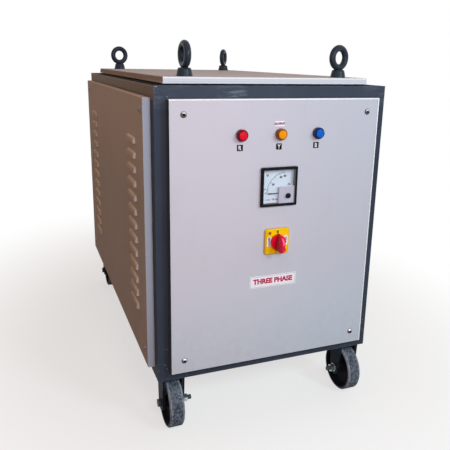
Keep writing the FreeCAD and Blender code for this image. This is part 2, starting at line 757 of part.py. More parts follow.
def wheel(x, y):
    """A cast wheel with a dished web between its rim and hub."""
    half = WHEEL_WIDTH / 2
    hub = FORK_INNER / 2 - SIDE_GAP
    web = WHEEL_WEB / 2
    bore = AXLE_RADIUS + AXLE_GAP
    rim = WHEEL_RADIUS - WHEEL_RIM
    draft = WHEEL_DRAFT
    half_outline = [(bore, hub), (WHEEL_HUB_RADIUS - draft, hub), (WHEEL_HUB_RADIUS, web + draft),
                    (WHEEL_HUB_RADIUS + draft, web), (rim - draft, web), (rim, web + draft),
                    (rim + draft, half), (WHEEL_RADIUS - WHEEL_EDGE, half),
                    (WHEEL_RADIUS, half - WHEEL_EDGE)]
    outline = half_outline + [(radius, -height) for radius, height in reversed(half_outline)]
    shape = spun(outline, X_AXIS)
    shape.translate(V(x, y, WHEEL_RADIUS))
    return [shape]


def axle_bolts():
    """Hexagon-headed axle bolts, with their heads outside."""
    bolts = []
    outer = FORK_INNER / 2 + FORK_LEG
    for name, x, y in castor_places():
        outward = V(1, 0, 0) if x > 0 else V(-1, 0, 0)
        centre = V(x, y, WHEEL_RADIUS)
        length = 2 * outer + WASHER_THICKNESS + AXLE_NUT + AXLE_TIP
        head = hexagon(AXLE_HEX, centre + outward * outer, outward, AXLE_HEAD)
        shank = rod(AXLE_RADIUS, centre + outward * outer, -outward, length)
        bolts.append(head.fuse(shank).removeSplitter())
    return bolts


def axle_nuts():
    """A nut and a washer on the inboard end of each axle bolt."""
    pieces = []
    outer = FORK_INNER / 2 + FORK_LEG
    for name, x, y in castor_places():
        inward = V(-1, 0, 0) if x > 0 else V(1, 0, 0)
        start = V(x, y, WHEEL_RADIUS) + inward * outer
        bore = AXLE_RADIUS + THREAD_GAP
        pieces.append(tube(WASHER_RADIUS, bore, start, inward, WASHER_THICKNESS))
        pieces.append(nut(AXLE_HEX, bore, start + inward * WASHER_THICKNESS, inward, AXLE_NUT))
    return pieces


# Front controls
def lamp_columns():
    return [-LAMP_PITCH, 0.0, LAMP_PITCH]


def pilot_lamp_bodies():
    """Bezel and threaded barrel in one, with a nut behind the panel."""
    pieces = []
    for x in lamp_columns():
        face = V(x, FRONT_FACE, LAMP_Z)
        bezel = rod(LAMP_BEZEL_RADIUS, face, FRONT, LAMP_BEZEL_DEPTH)
        bezel = bezel.makeFillet(LAMP_BEZEL_ROUND, circles_at(bezel, face + FRONT * LAMP_BEZEL_DEPTH))
        seat = face + FRONT * LAMP_SEAT
        bezel = bezel.cut(rod(LAMP_LENS_RADIUS + SMALL_FIT, seat, FRONT, LAMP_BEZEL_DEPTH))
        pieces.append(bezel.fuse(rod(LAMP_BARREL_RADIUS, face, BACK, LAMP_BARREL)).removeSplitter())
        nut_back = face + BACK * SHEET
        pieces.append(tube(LAMP_NUT_RADIUS, LAMP_BARREL_RADIUS + THREAD_GAP, nut_back, BACK, LAMP_NUT))
    return pieces


def lamp_lens(x):
    """A cap with a shallow dome."""
    start = V(x, FRONT_FACE - LAMP_SEAT, LAMP_Z)
    dome_radius = (LAMP_LENS_RADIUS ** 2 + LAMP_LENS_DOME ** 2) / (2 * LAMP_LENS_DOME)
    ball = Part.makeSphere(dome_radius, V(x, FRONT_FACE - LAMP_LENS_PROUD + dome_radius, LAMP_Z))
    return [rod(LAMP_LENS_RADIUS, start, FRONT, LAMP_LENS_PROUD).common(ball)]


def meter_box(size, front, back, z=METER_Z):
    """A square block about the meter's axis, between two distances behind the panel's face."""
    half = size / 2
    return box(-half, half, FRONT_FACE + front, FRONT_FACE + back, z - half, z + half)


def meter_case():
    bezel = meter_box(METER_SIZE, -METER_PROUD, 0)
    bezel = bezel.makeFillet(METER_CORNER, bezel.Edges)
    body = meter_box(METER_BODY, -METER_PROUD / 2, METER_BODY_DEPTH)
    cavity = meter_box(METER_WINDOW, -METER_PROUD, METER_CAVITY - METER_PROUD)
    return [bezel.fuse(body).removeSplitter().cut(cavity)]


def meter_glass():
    front = -METER_PROUD + METER_GLASS_RECESS
    pane = meter_box(METER_WINDOW - 2 * SMALL_FIT, front, front + METER_GLASS)
    hole = rod(ZERO_STEM_RADIUS + SMALL_FIT, meter_pivot(front), BACK, METER_GLASS)
    return [pane.cut(hole)]


def meter_pivot(depth):
    """A point on the pointer's axis, at a distance behind the panel's face."""
    corner = METER_WINDOW / 2
    return V(corner - METER_PIVOT_INSET_X, FRONT_FACE + depth, METER_Z - corner + METER_PIVOT_INSET_Z)


DIAL_FRONT = METER_CAVITY - METER_PROUD - METER_DIAL


def meter_dial():
    return [meter_box(METER_WINDOW - 2 * SMALL_FIT, DIAL_FRONT, DIAL_FRONT + METER_DIAL)]


def meter_hub_cover():
    """The cover over the movement, with the pointer's pin; the pointer sweeps under its near edges."""
    corner_x = METER_WINDOW / 2 - SMALL_FIT
    corner_z = METER_Z - METER_WINDOW / 2 + SMALL_FIT
    front = DIAL_FRONT - METER_HUB_HEIGHT
    size = METER_HUB_SIZE
    wall = METER_HUB_WALL
    skirt = front + METER_HUB_SKIRT
    block = box(corner_x - size, corner_x, FRONT_FACE + front, FRONT_FACE + DIAL_FRONT,
                corner_z, corner_z + size)
    inside = box(corner_x - size + wall, corner_x - wall, FRONT_FACE + front + wall, FRONT_FACE + DIAL_FRONT,
                 corner_z + wall, corner_z + size - wall)
    open_left = box(corner_x - size, corner_x - wall, FRONT_FACE + skirt, FRONT_FACE + DIAL_FRONT,
                    corner_z + wall, corner_z + size)
    pin = rod(METER_PIN_RADIUS, meter_pivot(front + wall / 2), BACK, METER_HUB_HEIGHT - wall / 2)
    return [block.cut(inside).cut(open_left).fuse(pin).removeSplitter()]


def meter_pointer():
    """Points to -X at zero and to +Z at full scale."""
    back = DIAL_FRONT - POINTER_LIFT
    front = back - POINTER_THICKNESS
    pivot = meter_pivot(0)
    half = POINTER_WIDTH / 2
    tip = POINTER_END_GAP - METER_WINDOW / 2
    blade = box(tip, pivot.x + POINTER_TAIL, FRONT_FACE + front, FRONT_FACE + back,
                pivot.z - half, pivot.z + half)
    hub = rod(POINTER_HUB_RADIUS, meter_pivot(back - POINTER_HUB_HEIGHT), BACK, POINTER_HUB_HEIGHT)
    weight = rod(POINTER_HUB_RADIUS, meter_pivot(front) + V(POINTER_TAIL, 0, 0), BACK, POINTER_THICKNESS)
    pointer = fuse_all([blade, hub, weight])
    start = meter_pivot(front - METER_HUB_HEIGHT)
    bore = rod(METER_PIN_RADIUS + SMALL_FIT, start, BACK, 3 * METER_HUB_HEIGHT)
    return [pointer.cut(bore)]


def meter_zero_screw():
    front = -METER_PROUD + METER_GLASS_RECESS
    head = rod(ZERO_HEAD_RADIUS, meter_pivot(front - SMALL_FIT), FRONT, ZERO_HEAD_HEIGHT)
    stem = rod(ZERO_STEM_RADIUS, meter_pivot(front - SMALL_FIT), BACK, METER_GLASS + 4 * SMALL_FIT)
    pivot = meter_pivot(0)
    top = FRONT_FACE + front - SMALL_FIT - ZERO_HEAD_HEIGHT
    slot = box(pivot.x - ZERO_HEAD_RADIUS, pivot.x + ZERO_HEAD_RADIUS, top, top + ZERO_HEAD_HEIGHT / 2,
               pivot.z - ZERO_SLOT_WIDTH / 2, pivot.z + ZERO_SLOT_WIDTH / 2)
    return [head.fuse(stem).removeSplitter().cut(slot)]


KNOB_BACK = FRONT_FACE - SWITCH_PLATE_DEPTH - SIDE_GAP


def switch_plate():
    half = SWITCH_PLATE / 2
    front = FRONT_FACE - SWITCH_PLATE_DEPTH
    plate = box(-half, half, front, FRONT_FACE, SWITCH_Z - half, SWITCH_Z + half)
    plate = plate.makeFillet(SWITCH_PLATE_CORNER, edges_along(plate, Y_AXIS))
    rim = edges_where(plate, lambda p: abs(p.y - front) < 0.01)
    plate = plate.makeFillet(SWITCH_PLATE_ROUND, rim)
    return [plate.cut(rod(SPINDLE_HOLE, V(0, front, SWITCH_Z), BACK, SWITCH_PLATE_DEPTH))]


def switch_knob():
    """A round base with an upright grip across it."""
    base = rod(KNOB_RADIUS, V(0, KNOB_BACK, SWITCH_Z), FRONT, KNOB_BASE)
    tip = FRONT_FACE - KNOB_PROUD
    half = KNOB_GRIP_WIDTH / 2
    reach = KNOB_GRIP_LENGTH / 2
    grip = box(-half, half, tip, KNOB_BACK, SWITCH_Z - reach, SWITCH_Z + reach)
    grip = grip.makeFillet(KNOB_GRIP_ROUND, edges_along(grip, Y_AXIS))
    socket = rod(SPINDLE_RADIUS, V(0, KNOB_BACK, SWITCH_Z), FRONT, KNOB_BASE)
    return [base.fuse(grip).removeSplitter().cut(socket)]


def switch_spindle():
    start = V(0, KNOB_BACK - KNOB_BASE, SWITCH_Z)
    end = FRONT_FACE + SHEET + CAM_BLOCK_DEPTH - SPINDLE_END_GAP
    return [rod(SPINDLE_RADIUS, start, BACK, end - start.y)]


def switch_cam_block():
    half = CAM_BLOCK / 2
    front = FRONT_FACE + SHEET
    block = box(-half, half, front, front + CAM_BLOCK_DEPTH, SWITCH_Z - half, SWITCH_Z + half)
    return [block.cut(rod(SPINDLE_RADIUS + SMALL_FIT, V(0, front, SWITCH_Z), BACK, CAM_BLOCK_DEPTH))]


def label(x, z, width, height):
    return box(x - width / 2, x + width / 2, FRONT_FACE - LABEL_THICKNESS, FRONT_FACE,
               z - height / 2, z + height / 2)


def label_plates():
    labels = [label(x + LETTER_SHIFT, PANEL_TOP - LETTER_DROP, LETTER_PLATE, LETTER_PLATE)
              for x in lamp_columns()]
    labels.append(label(LETTER_SHIFT, PANEL_TOP - CAPTION_DROP, CAPTION_WIDTH, CAPTION_HEIGHT))
    labels.append(label(NAME_LABEL_X, PANEL_TOP - NAME_LABEL_DROP, NAME_LABEL_WIDTH, NAME_LABEL_HEIGHT))
    return labels


# Coil stack
def level(index):
    """Underside of a coil's support plate."""
    return STACK_BASE + index * COIL_PITCH


def coil_top(index):
    return level(index) + SUPPORT_THICKNESS + COIL_HEIGHT


def on_stack(radius, angle, z):
    """A point at a radius and an angle about the stack's axis."""
    return V(radius * math.cos(math.radians(angle)), STACK_Y + radius * math.sin(math.radians(angle)), z)


def tie_angles():
    return [45 + 360 / TIE_COUNT * i for i in range(TIE_COUNT)]


def tie_holes(plate, z, thickness):
    for angle in tie_angles():
        plate = plate.cut(rod(TIE_RADIUS + ROD_HOLE_GAP, on_stack(TIE_CIRCLE, angle, z), UP, thickness))
    return plate


def lower_end_frame():
    plate = rod(STACK_PLATE_RADIUS, V(0, STACK_Y, LOWER_FRAME_Z), UP, END_FRAME)
    feet = []
    for i in range(TIE_COUNT):
        centre = on_stack(FOOT_CIRCLE, 360 / TIE_COUNT * i, BASE_TOP)
        half = FOOT_SIZE / 2
        feet.append(box(centre.x - half, centre.x + half, centre.y - half, centre.y + half,
                        BASE_TOP, LOWER_FRAME_Z))
    boss = rod(BEARING_BOSS, V(0, STACK_Y, LOWER_FRAME_Z - BOSS_HEIGHT), UP, BOSS_HEIGHT)
    frame = fuse_all([plate, boss] + feet)
    frame = frame.cut(rod(BEARING_OUTER, V(0, STACK_Y, BASE_TOP), UP, STACK_BASE - BASE_TOP))
    return [tie_holes(frame, LOWER_FRAME_Z, END_FRAME)]


def upper_end_frame():
    plate = rod(STACK_PLATE_RADIUS, V(0, STACK_Y, UPPER_FRAME_Z), UP, END_FRAME)
    boss = rod(BEARING_BOSS, V(0, STACK_Y, UPPER_FRAME_TOP), UP, BOSS_HEIGHT)
    frame = plate.fuse(boss).removeSplitter()
    frame = frame.cut(rod(BEARING_OUTER, V(0, STACK_Y, UPPER_FRAME_Z), UP, 2 * BEARING_HEIGHT + END_FRAME))
    return [tie_holes(frame, UPPER_FRAME_Z, END_FRAME)]


def shaft_bearings():
    """Plain bearings, one in each end frame."""
    bottoms = (LOWER_FRAME_Z - BOSS_HEIGHT, UPPER_FRAME_TOP + BOSS_HEIGHT - BEARING_HEIGHT)
    return [tube(BEARING_OUTER, SHAFT_RADIUS + BEARING_GAP, V(0, STACK_Y, z), UP, BEARING_HEIGHT)
            for z in bottoms]


def coil_support_plates():
    plates = []
    for i in range(COIL_COUNT):
        plate = rod(STACK_PLATE_RADIUS, V(0, STACK_Y, level(i)), UP, SUPPORT_THICKNESS)
        hole = rod(BEARING_BOSS + SUPPORT_HOLE_GAP, V(0, STACK_Y, level(i)), UP, SUPPORT_THICKNESS)
        plate = plate.cut(hole)
        plates.append(tie_holes(plate, level(i), SUPPORT_THICKNESS))
    return plates


def toroid_cores():
    height = COIL_HEIGHT - 2 * WINDING_WALL
    return [tube(COIL_OUTER - WINDING_WALL, COIL_INNER + WINDING_WALL,
                 V(0, STACK_Y, level(i) + SUPPORT_THICKNESS + WINDING_WALL), UP, height)
            for i in range(COIL_COUNT)]


def toroid_windings():
    """A winding wraps the core all round but for the gap between its two ends."""
    outer = Part.makePolygon([V(COIL_INNER, 0, 0), V(COIL_OUTER, 0, 0), V(COIL_OUTER, 0, COIL_HEIGHT),
                              V(COIL_INNER, 0, COIL_HEIGHT), V(COIL_INNER, 0, 0)])
    r0 = COIL_INNER + WINDING_WALL
    r1 = COIL_OUTER - WINDING_WALL
    z0 = WINDING_WALL
    z1 = COIL_HEIGHT - WINDING_WALL
    inner = Part.makePolygon([V(r0, 0, z0), V(r0, 0, z1), V(r1, 0, z1), V(r1, 0, z0), V(r0, 0, z0)])
    section = Part.Face(outer).cut(Part.Face(inner))
    winding = section.Faces[0].revolve(V(0, 0, 0), UP, 360 - WINDING_GAP_ANGLE)
    windings = []
    for i in range(COIL_COUNT):
        copy = turned(winding, V(0, 0, 0), -90 + WINDING_GAP_ANGLE / 2)
        copy.translate(V(0, STACK_Y, level(i) + SUPPORT_THICKNESS))
        windings.append(copy)
    return windings


def tie_rods():
    bottom = LOWER_FRAME_Z - TIE_NUT - TIE_TIP
    length = UPPER_FRAME_TOP + TIE_NUT + TIE_TIP - bottom
    return [rod(TIE_RADIUS, on_stack(TIE_CIRCLE, angle, bottom), UP, length) for angle in tie_angles()]


def tie_rod_nuts():
    bore = TIE_RADIUS + THREAD_GAP
    nuts = []
    for angle in tie_angles():
        nuts.append(nut(TIE_NUT_HEX, bore, on_stack(TIE_CIRCLE, angle, LOWER_FRAME_Z), -UP, TIE_NUT))
        nuts.append(nut(TIE_NUT_HEX, bore, on_stack(TIE_CIRCLE, angle, UPPER_FRAME_TOP), UP, TIE_NUT))
    return nuts


def tie_rod_spacers():
    length = COIL_PITCH - SUPPORT_THICKNESS
    return [tube(SPACER_RADIUS, TIE_RADIUS + ROD_HOLE_GAP,
                 on_stack(TIE_CIRCLE, angle, level(i) + SUPPORT_THICKNESS), UP, length)
            for i in range(COIL_COUNT) for angle in tie_angles()]


# Brush shaft and what turns with it
def main_shaft():
    bottom = BASE_TOP + SHAFT_FOOT_GAP
    return [rod(SHAFT_RADIUS, V(0, STACK_Y, bottom), UP, UPPER_FRAME_TOP + SHAFT_TOP_RISE - bottom)]


def brush_arms():
    arms = []
    for i in range(COIL_COUNT):
        z = coil_top(i) + ARM_LIFT
        hub = rod(HUB_RADIUS, V(0, 0, z - ARM_HUB_BELOW), UP, ARM_HUB_BELOW + ARM_THICKNESS)
        blade = box(0, ARM_LENGTH, -ARM_WIDTH / 2, ARM_WIDTH / 2, z, z + ARM_THICKNESS)
        tip = [edge for edge in edges_along(blade, Z_AXIS) if edge.Vertexes[0].X > HUB_RADIUS]
        blade = blade.makeFillet(ARM_ROUND, tip)
        arm = hub.fuse(blade).removeSplitter()
        arm = arm.cut(rod(SHAFT_RADIUS, V(0, 0, z - ARM_HUB_BELOW), UP, 2 * ARM_THICKNESS))
        arm = turned(arm, V(0, 0, 0), ARM_START_ANGLE)
        arm.translate(STACK_AXIS)
        arms.append(arm)
    return arms


def carbon_brushes():
    """Brushes under the arms; they run on the bared turns."""
    brushes = []
    for i in range(COIL_COUNT):
        bottom = coil_top(i) + BRUSH_GAP
        brush = box(BRUSH_CIRCLE - BRUSH_LENGTH / 2, BRUSH_CIRCLE + BRUSH_LENGTH / 2,
                    -BRUSH_WIDTH / 2, BRUSH_WIDTH / 2, bottom, coil_top(i) + ARM_LIFT)
        brush = turned(brush, V(0, 0, 0), ARM_START_ANGLE)
        brush.translate(STACK_AXIS)
        brushes.append(brush)
    return brushes


def collector_rings():
    return [tube(RING_RADIUS, SHAFT_RADIUS, V(0, STACK_Y, coil_top(i) + ARM_LIFT + ARM_THICKNESS), UP,
                 RING_HEIGHT) for i in range(COIL_COUNT)]


def collector_straps():
    """A strap takes the current off each ring; an insulator hangs it from the plate above."""
    pieces = []
    for i in range(COIL_COUNT):
        z = coil_top(i) + ARM_LIFT + ARM_THICKNESS + (RING_HEIGHT - STRAP_THICKNESS) / 2
        inner = RING_RADIUS + SIDE_GAP
        pieces.append(box(-STRAP_WIDTH / 2, STRAP_WIDTH / 2, STACK_Y - STRAP_REACH, STACK_Y - inner,
                          z, z + STRAP_THICKNESS))
        above = z + STRAP_THICKNESS
        pieces.append(rod(INSULATOR_RADIUS, on_stack(INSULATOR_CIRCLE, -90, above), UP, level(i + 1) - above))
    return pieces


# Motor drive
def involute_gear(teeth, width, bore, phase):
    """A spur gear on z = 0 with a tooth centred on +X, turned by `phase` degrees."""
    pitch = GEAR_MODULE * teeth / 2
    base = pitch * math.cos(math.radians(PRESSURE_ANGLE))
    tip = pitch + GEAR_MODULE
    root = pitch - DEDENDUM * GEAR_MODULE
    half_tooth = math.pi / (2 * teeth) - GEAR_BACKLASH / (4 * pitch)

    def involute(radius):
        turn = math.acos(min(1.0, base / radius))
        return math.tan(turn) - turn

    start = max(base, root)
    flank = []
    for i in range(FLANK_STEPS + 1):
        radius = start + (tip - start) * i / FLANK_STEPS
        flank.append((radius, half_tooth + involute(pitch) - involute(radius)))
    edges = []
    step = 2 * math.pi / teeth

    def at(radius, angle):
        return V(radius * math.cos(angle), radius * math.sin(angle), 0)

    for i in range(teeth):
        middle = i * step + math.radians(phase)
        rising = [at(root, middle - flank[0][1])] + [at(r, middle - a) for r, a in flank]
        falling = [at(r, middle + a) for r, a in reversed(flank)] + [at(root, middle + flank[0][1])]
        edges += [Part.LineSegment(a, b).toShape() for a, b in zip(rising, rising[1:])
                  if a.distanceToPoint(b) > 1e-6]
        edges.append(Part.Arc(rising[-1], at(tip, middle), falling[0]).toShape())
        edges += [Part.LineSegment(a, b).toShape() for a, b in zip(falling, falling[1:])
                  if a.distanceToPoint(b) > 1e-6]
        following = at(root, middle + step - flank[0][1])
        edges.append(Part.Arc(falling[-1], at(root, middle + step / 2), following).toShape())
    blank = Part.Face(Part.Wire(edges)).extrude(V(0, 0, width))
    if bore > 0:
        blank = blank.cut(rod(bore, V(0, 0, 0), UP, width))
    return blank


GEAR_Z = UPPER_FRAME_TOP + BOSS_HEIGHT + GEAR_HUB_GAP + GEAR_HUB_DROP
PINION_X = GEAR_MODULE * (GEAR_TEETH + PINION_TEETH) / 2
MOTOR_PLATE_Z = UPPER_FRAME_TOP + MOTOR_PLATE_RISE


def drive_gear():
    """The gear on the brush shaft, with the cam finger of the limit switches under it."""
    gear = involute_gear(GEAR_TEETH, GEAR_WIDTH, 0, 0)
    hub = rod(HUB_RADIUS, V(0, 0, -GEAR_HUB_DROP), UP, GEAR_HUB_DROP)
    finger = box(0, CAM_LENGTH, -CAM_WIDTH / 2, CAM_WIDTH / 2, -GEAR_HUB_DROP, 0)
    finger = turned(finger, V(0, 0, 0), ARM_START_ANGLE)
    gear = fuse_all([gear, hub, finger])
    gear = gear.cut(rod(SHAFT_RADIUS, V(0, 0, -GEAR_HUB_DROP), UP, GEAR_WIDTH + GEAR_HUB_DROP))
    gear.translate(V(0, STACK_Y, GEAR_Z))
    return [gear]


def motor_pinion():
    """The pinion and the gearbox's output shaft in one."""
    pinion = involute_gear(PINION_TEETH, GEAR_WIDTH, 0, 180 / PINION_TEETH)
    shaft = rod(MOTOR_SHAFT_RADIUS, V(0, 0, GEAR_WIDTH), UP,
                MOTOR_PLATE_Z + MOTOR_PLATE + MOTOR_SHAFT_REACH - GEAR_Z - GEAR_WIDTH)
    pinion = pinion.fuse(shaft).removeSplitter()
    pinion.translate(V(PINION_X, STACK_Y, GEAR_Z))
    return [pinion]


def limit_switches():
    """Two small switches stand on the upper end frame, just outside the cam finger's reach."""
    switches = []
    inner = CAM_LENGTH + LIMIT_SWITCH_GAP
    tall = GEAR_Z - GEAR_HUB_GAP - UPPER_FRAME_TOP
    for angle in (ARM_START_ANGLE, ARM_START_ANGLE + BRUSH_SWEEP):
        switch = box(inner, inner + LIMIT_SWITCH_SIZE, -LIMIT_SWITCH_SIZE / 2, LIMIT_SWITCH_SIZE / 2,
                     0, tall)
        switch = turned(switch, V(0, 0, 0), angle)
        switch.translate(V(0, STACK_Y, UPPER_FRAME_TOP))
        switches.append(switch)
    return switches


def motor_bracket():
    """A plate on three legs over the gears."""
    x0 = PINION_X - GEARBOX_SIZE / 2
    x1 = PINION_X + MOTOR_LEG_REACH + 2 * MOTOR_LEG_RADIUS
    half = MOTOR_LEG_SPREAD + 2 * MOTOR_LEG_RADIUS
    plate = box(x0, x1, STACK_Y - half, STACK_Y + half, MOTOR_PLATE_Z, MOTOR_PLATE_Z + MOTOR_PLATE)
    legs = [(PINION_X, STACK_Y - MOTOR_LEG_SPREAD), (PINION_X, STACK_Y + MOTOR_LEG_SPREAD),
            (PINION_X + MOTOR_LEG_REACH, STACK_Y)]
    columns = [rod(MOTOR_LEG_RADIUS, V(x, y, UPPER_FRAME_TOP), UP, MOTOR_PLATE_RISE) for x, y in legs]
    bracket = fuse_all([plate] + columns)
    return [bracket.cut(rod(MOTOR_PLATE_HOLE, V(PINION_X, STACK_Y, MOTOR_PLATE_Z), UP, MOTOR_PLATE))]


def gear_motor():
    """Gearbox with the motor upright on it."""
    z = MOTOR_PLATE_Z + MOTOR_PLATE
    half = GEARBOX_SIZE / 2
    case = box(PINION_X - half, PINION_X + half, STACK_Y - half, STACK_Y + half, z, z + GEARBOX_HEIGHT)
    case = case.makeFillet(GEARBOX_ROUND, edges_along(case, Z_AXIS))
    motor = rod(MOTOR_RADIUS, V(PINION_X, STACK_Y, z + GEARBOX_HEIGHT), UP, MOTOR_HEIGHT)
    body = case.fuse(motor).removeSplitter()
    socket = rod(MOTOR_SHAFT_RADIUS + BEARING_GAP, V(PINION_X, STACK_Y, z), UP, GEARBOX_SOCKET)
    return [body.cut(socket)]


# Rear connections
def stud_columns():
    return [STUD_PITCH * (i - (STUD_COUNT - 1) / 2) for i in range(STUD_COUNT)]


def terminal_board():
    y = HALF_DEPTH - BOARD_INSET
    board = box(-BOARD_WIDTH / 2, BOARD_WIDTH / 2, y - BOARD_THICKNESS, y, BASE_TOP, BASE_TOP + BOARD_HEIGHT)
    for x in stud_columns():
        start = V(x, y, BASE_TOP + STUD_RISE)
        board = board.cut(rod(STUD_RADIUS + THREAD_GAP, start, FRONT, BOARD_THICKNESS))
    return [board]


def terminal_studs():
    """Threaded studs through the board, each with a nut on both sides."""
    pieces = []
    y = HALF_DEPTH - BOARD_INSET
    for x in stud_columns():
        z = BASE_TOP + STUD_RISE
        pieces.append(rod(STUD_RADIUS, V(x, y + STUD_REACH, z), FRONT, BOARD_THICKNESS + 2 * STUD_REACH))
        pieces.append(nut(STUD_HEX, STUD_RADIUS + THREAD_GAP, V(x, y, z), BACK, STUD_NUT))
        pieces.append(nut(STUD_HEX, STUD_RADIUS + THREAD_GAP, V(x, y - BOARD_THICKNESS, z), FRONT, STUD_NUT))
    return pieces


def cable_glands():
    """A gland body with its dome nut, and a lock nut behind the panel."""
    pieces = []
    for x in (-GLAND_X, GLAND_X):
        face = V(x, REAR_FACE, PANEL_BOTTOM + GLAND_RISE)
        thread = rod(GLAND_THREAD_RADIUS, face, FRONT, GLAND_TAIL)
        flange = hexagon(GLAND_HEX, face, BACK, GLAND_FLANGE)
        dome = Part.makeCone(GLAND_DOME_RADIUS, GLAND_THREAD_RADIUS, GLAND_PROUD - GLAND_FLANGE,
                             face + BACK * GLAND_FLANGE, BACK)
        body = fuse_all([thread, flange, dome])
        start = face + FRONT * GLAND_TAIL
        pieces.append(body.cut(rod(GLAND_BORE_RADIUS, start, BACK, GLAND_TAIL + GLAND_PROUD)))
        nut_front = face + FRONT * SHEET
        pieces.append(nut(GLAND_HEX, GLAND_THREAD_RADIUS + THREAD_GAP, nut_front, FRONT, GLAND_NUT))
    return pieces


def earth_stud():
    """The earthing stud: its hexagon collar seats on the rear panel, and a nut holds it from inside."""
    face = V(0, REAR_FACE, PANEL_BOTTOM + EARTH_RISE)
    inside = SHEET + STUD_NUT + EARTH_TAIL
    stud = rod(EARTH_RADIUS, face + FRONT * inside, BACK, inside + EARTH_PROUD)
    collar = hexagon(STUD_HEX, face, BACK, EARTH_COLLAR)
    inner = nut(STUD_HEX, EARTH_RADIUS + THREAD_GAP, face + FRONT * SHEET, FRONT, STUD_NUT)
    return [fuse_all([stud, collar]), inner]


def build():
    """Every node by its name."""
    nodes = {
        "frame_posts": frame_posts(),
        "base_side_rails": side_rails(FRAME_LIFT),
        "base_cross_rails": end_rails(FRAME_LIFT) + stack_rails(),
        "top_side_rails": side_rails(TOP_RAIL_BOTTOM),
        "top_cross_rails": end_rails(TOP_RAIL_BOTTOM),
        "lifting_bars": lifting_bars(),
        "base_plate": base_plate(),
        "front_panel": front_panel(),
        "rear_panel": rear_panel(),
        "left_side_panel": side_panel(-1),
        "right_side_panel": side_panel(1),
        "top_cover": top_cover(),
        "panel_fixing_tabs": panel_fixing_tabs(),
        "panel_screws": panel_screws(),
        "lifting_eye_bolts": lifting_eye_bolts(),
        "castor_forks": castor_forks(),
        "axle_bolts": axle_bolts(),
        "axle_nuts": axle_nuts(),
        "pilot_lamp_bodies": pilot_lamp_bodies(),
        "meter_case": meter_case(),
        "meter_glass": meter_glass(),
        "meter_dial": meter_dial(),
        "meter_hub_cover": meter_hub_cover(),
        "meter_pointer": meter_pointer(),
        "meter_zero_screw": meter_zero_screw(),
        "switch_plate": switch_plate(),
        "switch_knob": switch_knob(),
        "switch_spindle": switch_spindle(),
        "switch_cam_block": switch_cam_block(),
        "label_plates": label_plates(),
        "lower_end_frame": lower_end_frame(),
        "upper_end_frame": upper_end_frame(),
        "shaft_bearings": shaft_bearings(),
        "coil_support_plates": coil_support_plates(),
        "toroid_cores": toroid_cores(),
        "toroid_windings": toroid_windings(),
        "tie_rods": tie_rods(),
        "tie_rod_nuts": tie_rod_nuts(),
        "tie_rod_spacers": tie_rod_spacers(),
        "main_shaft": main_shaft(),
        "brush_arms": brush_arms(),
        "carbon_brushes": carbon_brushes(),
        "collector_rings": collector_rings(),
        "collector_straps": collector_straps(),
        "drive_gear": drive_gear(),
        "motor_pinion": motor_pinion(),
        "limit_switches": limit_switches(),
        "motor_bracket": motor_bracket(),
        "gear_motor": gear_motor(),
        "terminal_board": terminal_board(),
        "terminal_studs": terminal_studs(),
        "cable_glands": cable_glands(),
        "earth_stud": earth_stud(),
    }
    for name, x, y in castor_places():
        nodes[name + "_wheel"] = wheel(x, y)
    for colour, x in zip(("red", "amber", "blue"), lamp_columns()):
        nodes[colour + "_lamp_lens"] = lamp_lens(x)
    return nodes


def export(nodes):
    os.makedirs("parts", exist_ok=True)
    for name, solids in nodes.items():
        shape = solids[0] if len(solids) == 1 else Part.makeCompound(solids)
        shape.exportStep(os.path.join("parts", name + ".step"))
        box_now = shape.BoundBox
        print(f"{name}: {len(shape.Solids)} solids, valid {shape.isValid()}, "
              f"x {box_now.XMin:.1f}..{box_now.XMax:.1f}, y {box_now.YMin:.1f}..{box_now.YMax:.1f}, "
              f"z {box_now.ZMin:.1f}..{box_now.ZMax:.1f}")
    print(len(nodes), "nodes")


export(build())
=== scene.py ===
# %% [markdown]
# # A three-phase variable autotransformer in a wheeled steel cabinet
# Every panel, screw, wheel and coil is already in the frame that is loaded here, at its real size.
# This lesson gives each piece its finish, adds the lettering and the small mouldings that a mesh
# modeller makes best, and lights the result.

import json
import math

import bmesh
import bpy
from mathutils import Matrix, Vector


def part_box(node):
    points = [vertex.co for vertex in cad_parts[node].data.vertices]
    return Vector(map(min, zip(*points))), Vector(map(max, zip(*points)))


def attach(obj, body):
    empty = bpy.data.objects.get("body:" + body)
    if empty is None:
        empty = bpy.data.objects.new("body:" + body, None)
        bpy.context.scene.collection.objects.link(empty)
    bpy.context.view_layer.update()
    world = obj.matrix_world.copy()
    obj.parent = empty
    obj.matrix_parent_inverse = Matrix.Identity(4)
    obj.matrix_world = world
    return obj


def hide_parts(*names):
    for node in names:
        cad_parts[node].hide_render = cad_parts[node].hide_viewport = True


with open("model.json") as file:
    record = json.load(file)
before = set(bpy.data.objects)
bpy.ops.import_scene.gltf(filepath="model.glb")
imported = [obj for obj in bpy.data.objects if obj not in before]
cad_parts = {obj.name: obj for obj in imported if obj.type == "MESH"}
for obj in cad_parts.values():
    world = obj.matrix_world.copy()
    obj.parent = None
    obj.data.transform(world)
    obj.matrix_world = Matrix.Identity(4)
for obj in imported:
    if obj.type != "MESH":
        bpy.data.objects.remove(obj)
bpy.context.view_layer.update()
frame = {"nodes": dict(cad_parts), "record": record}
nodes = frame["nodes"]

# %% [markdown]
# ## The camera
# A buyer stands a little to the cabinet's left and looks slightly down at it. A camera looks along
# its own -Z, so three turns place it: yaw, pitch and a small roll. The lens and a slight shift put
# the cabinet in the middle of the view.

# %% Camera
CAMERA_PLACE = Vector((-0.576, -1.723, 0.924))
CAMERA_YAW = math.radians(21.42)
CAMERA_PITCH = math.radians(-14.69)
CAMERA_ROLL = math.radians(1.13)
CAMERA_LENS = 43.98
CAMERA_SHIFT = (-0.0198, -0.0429)

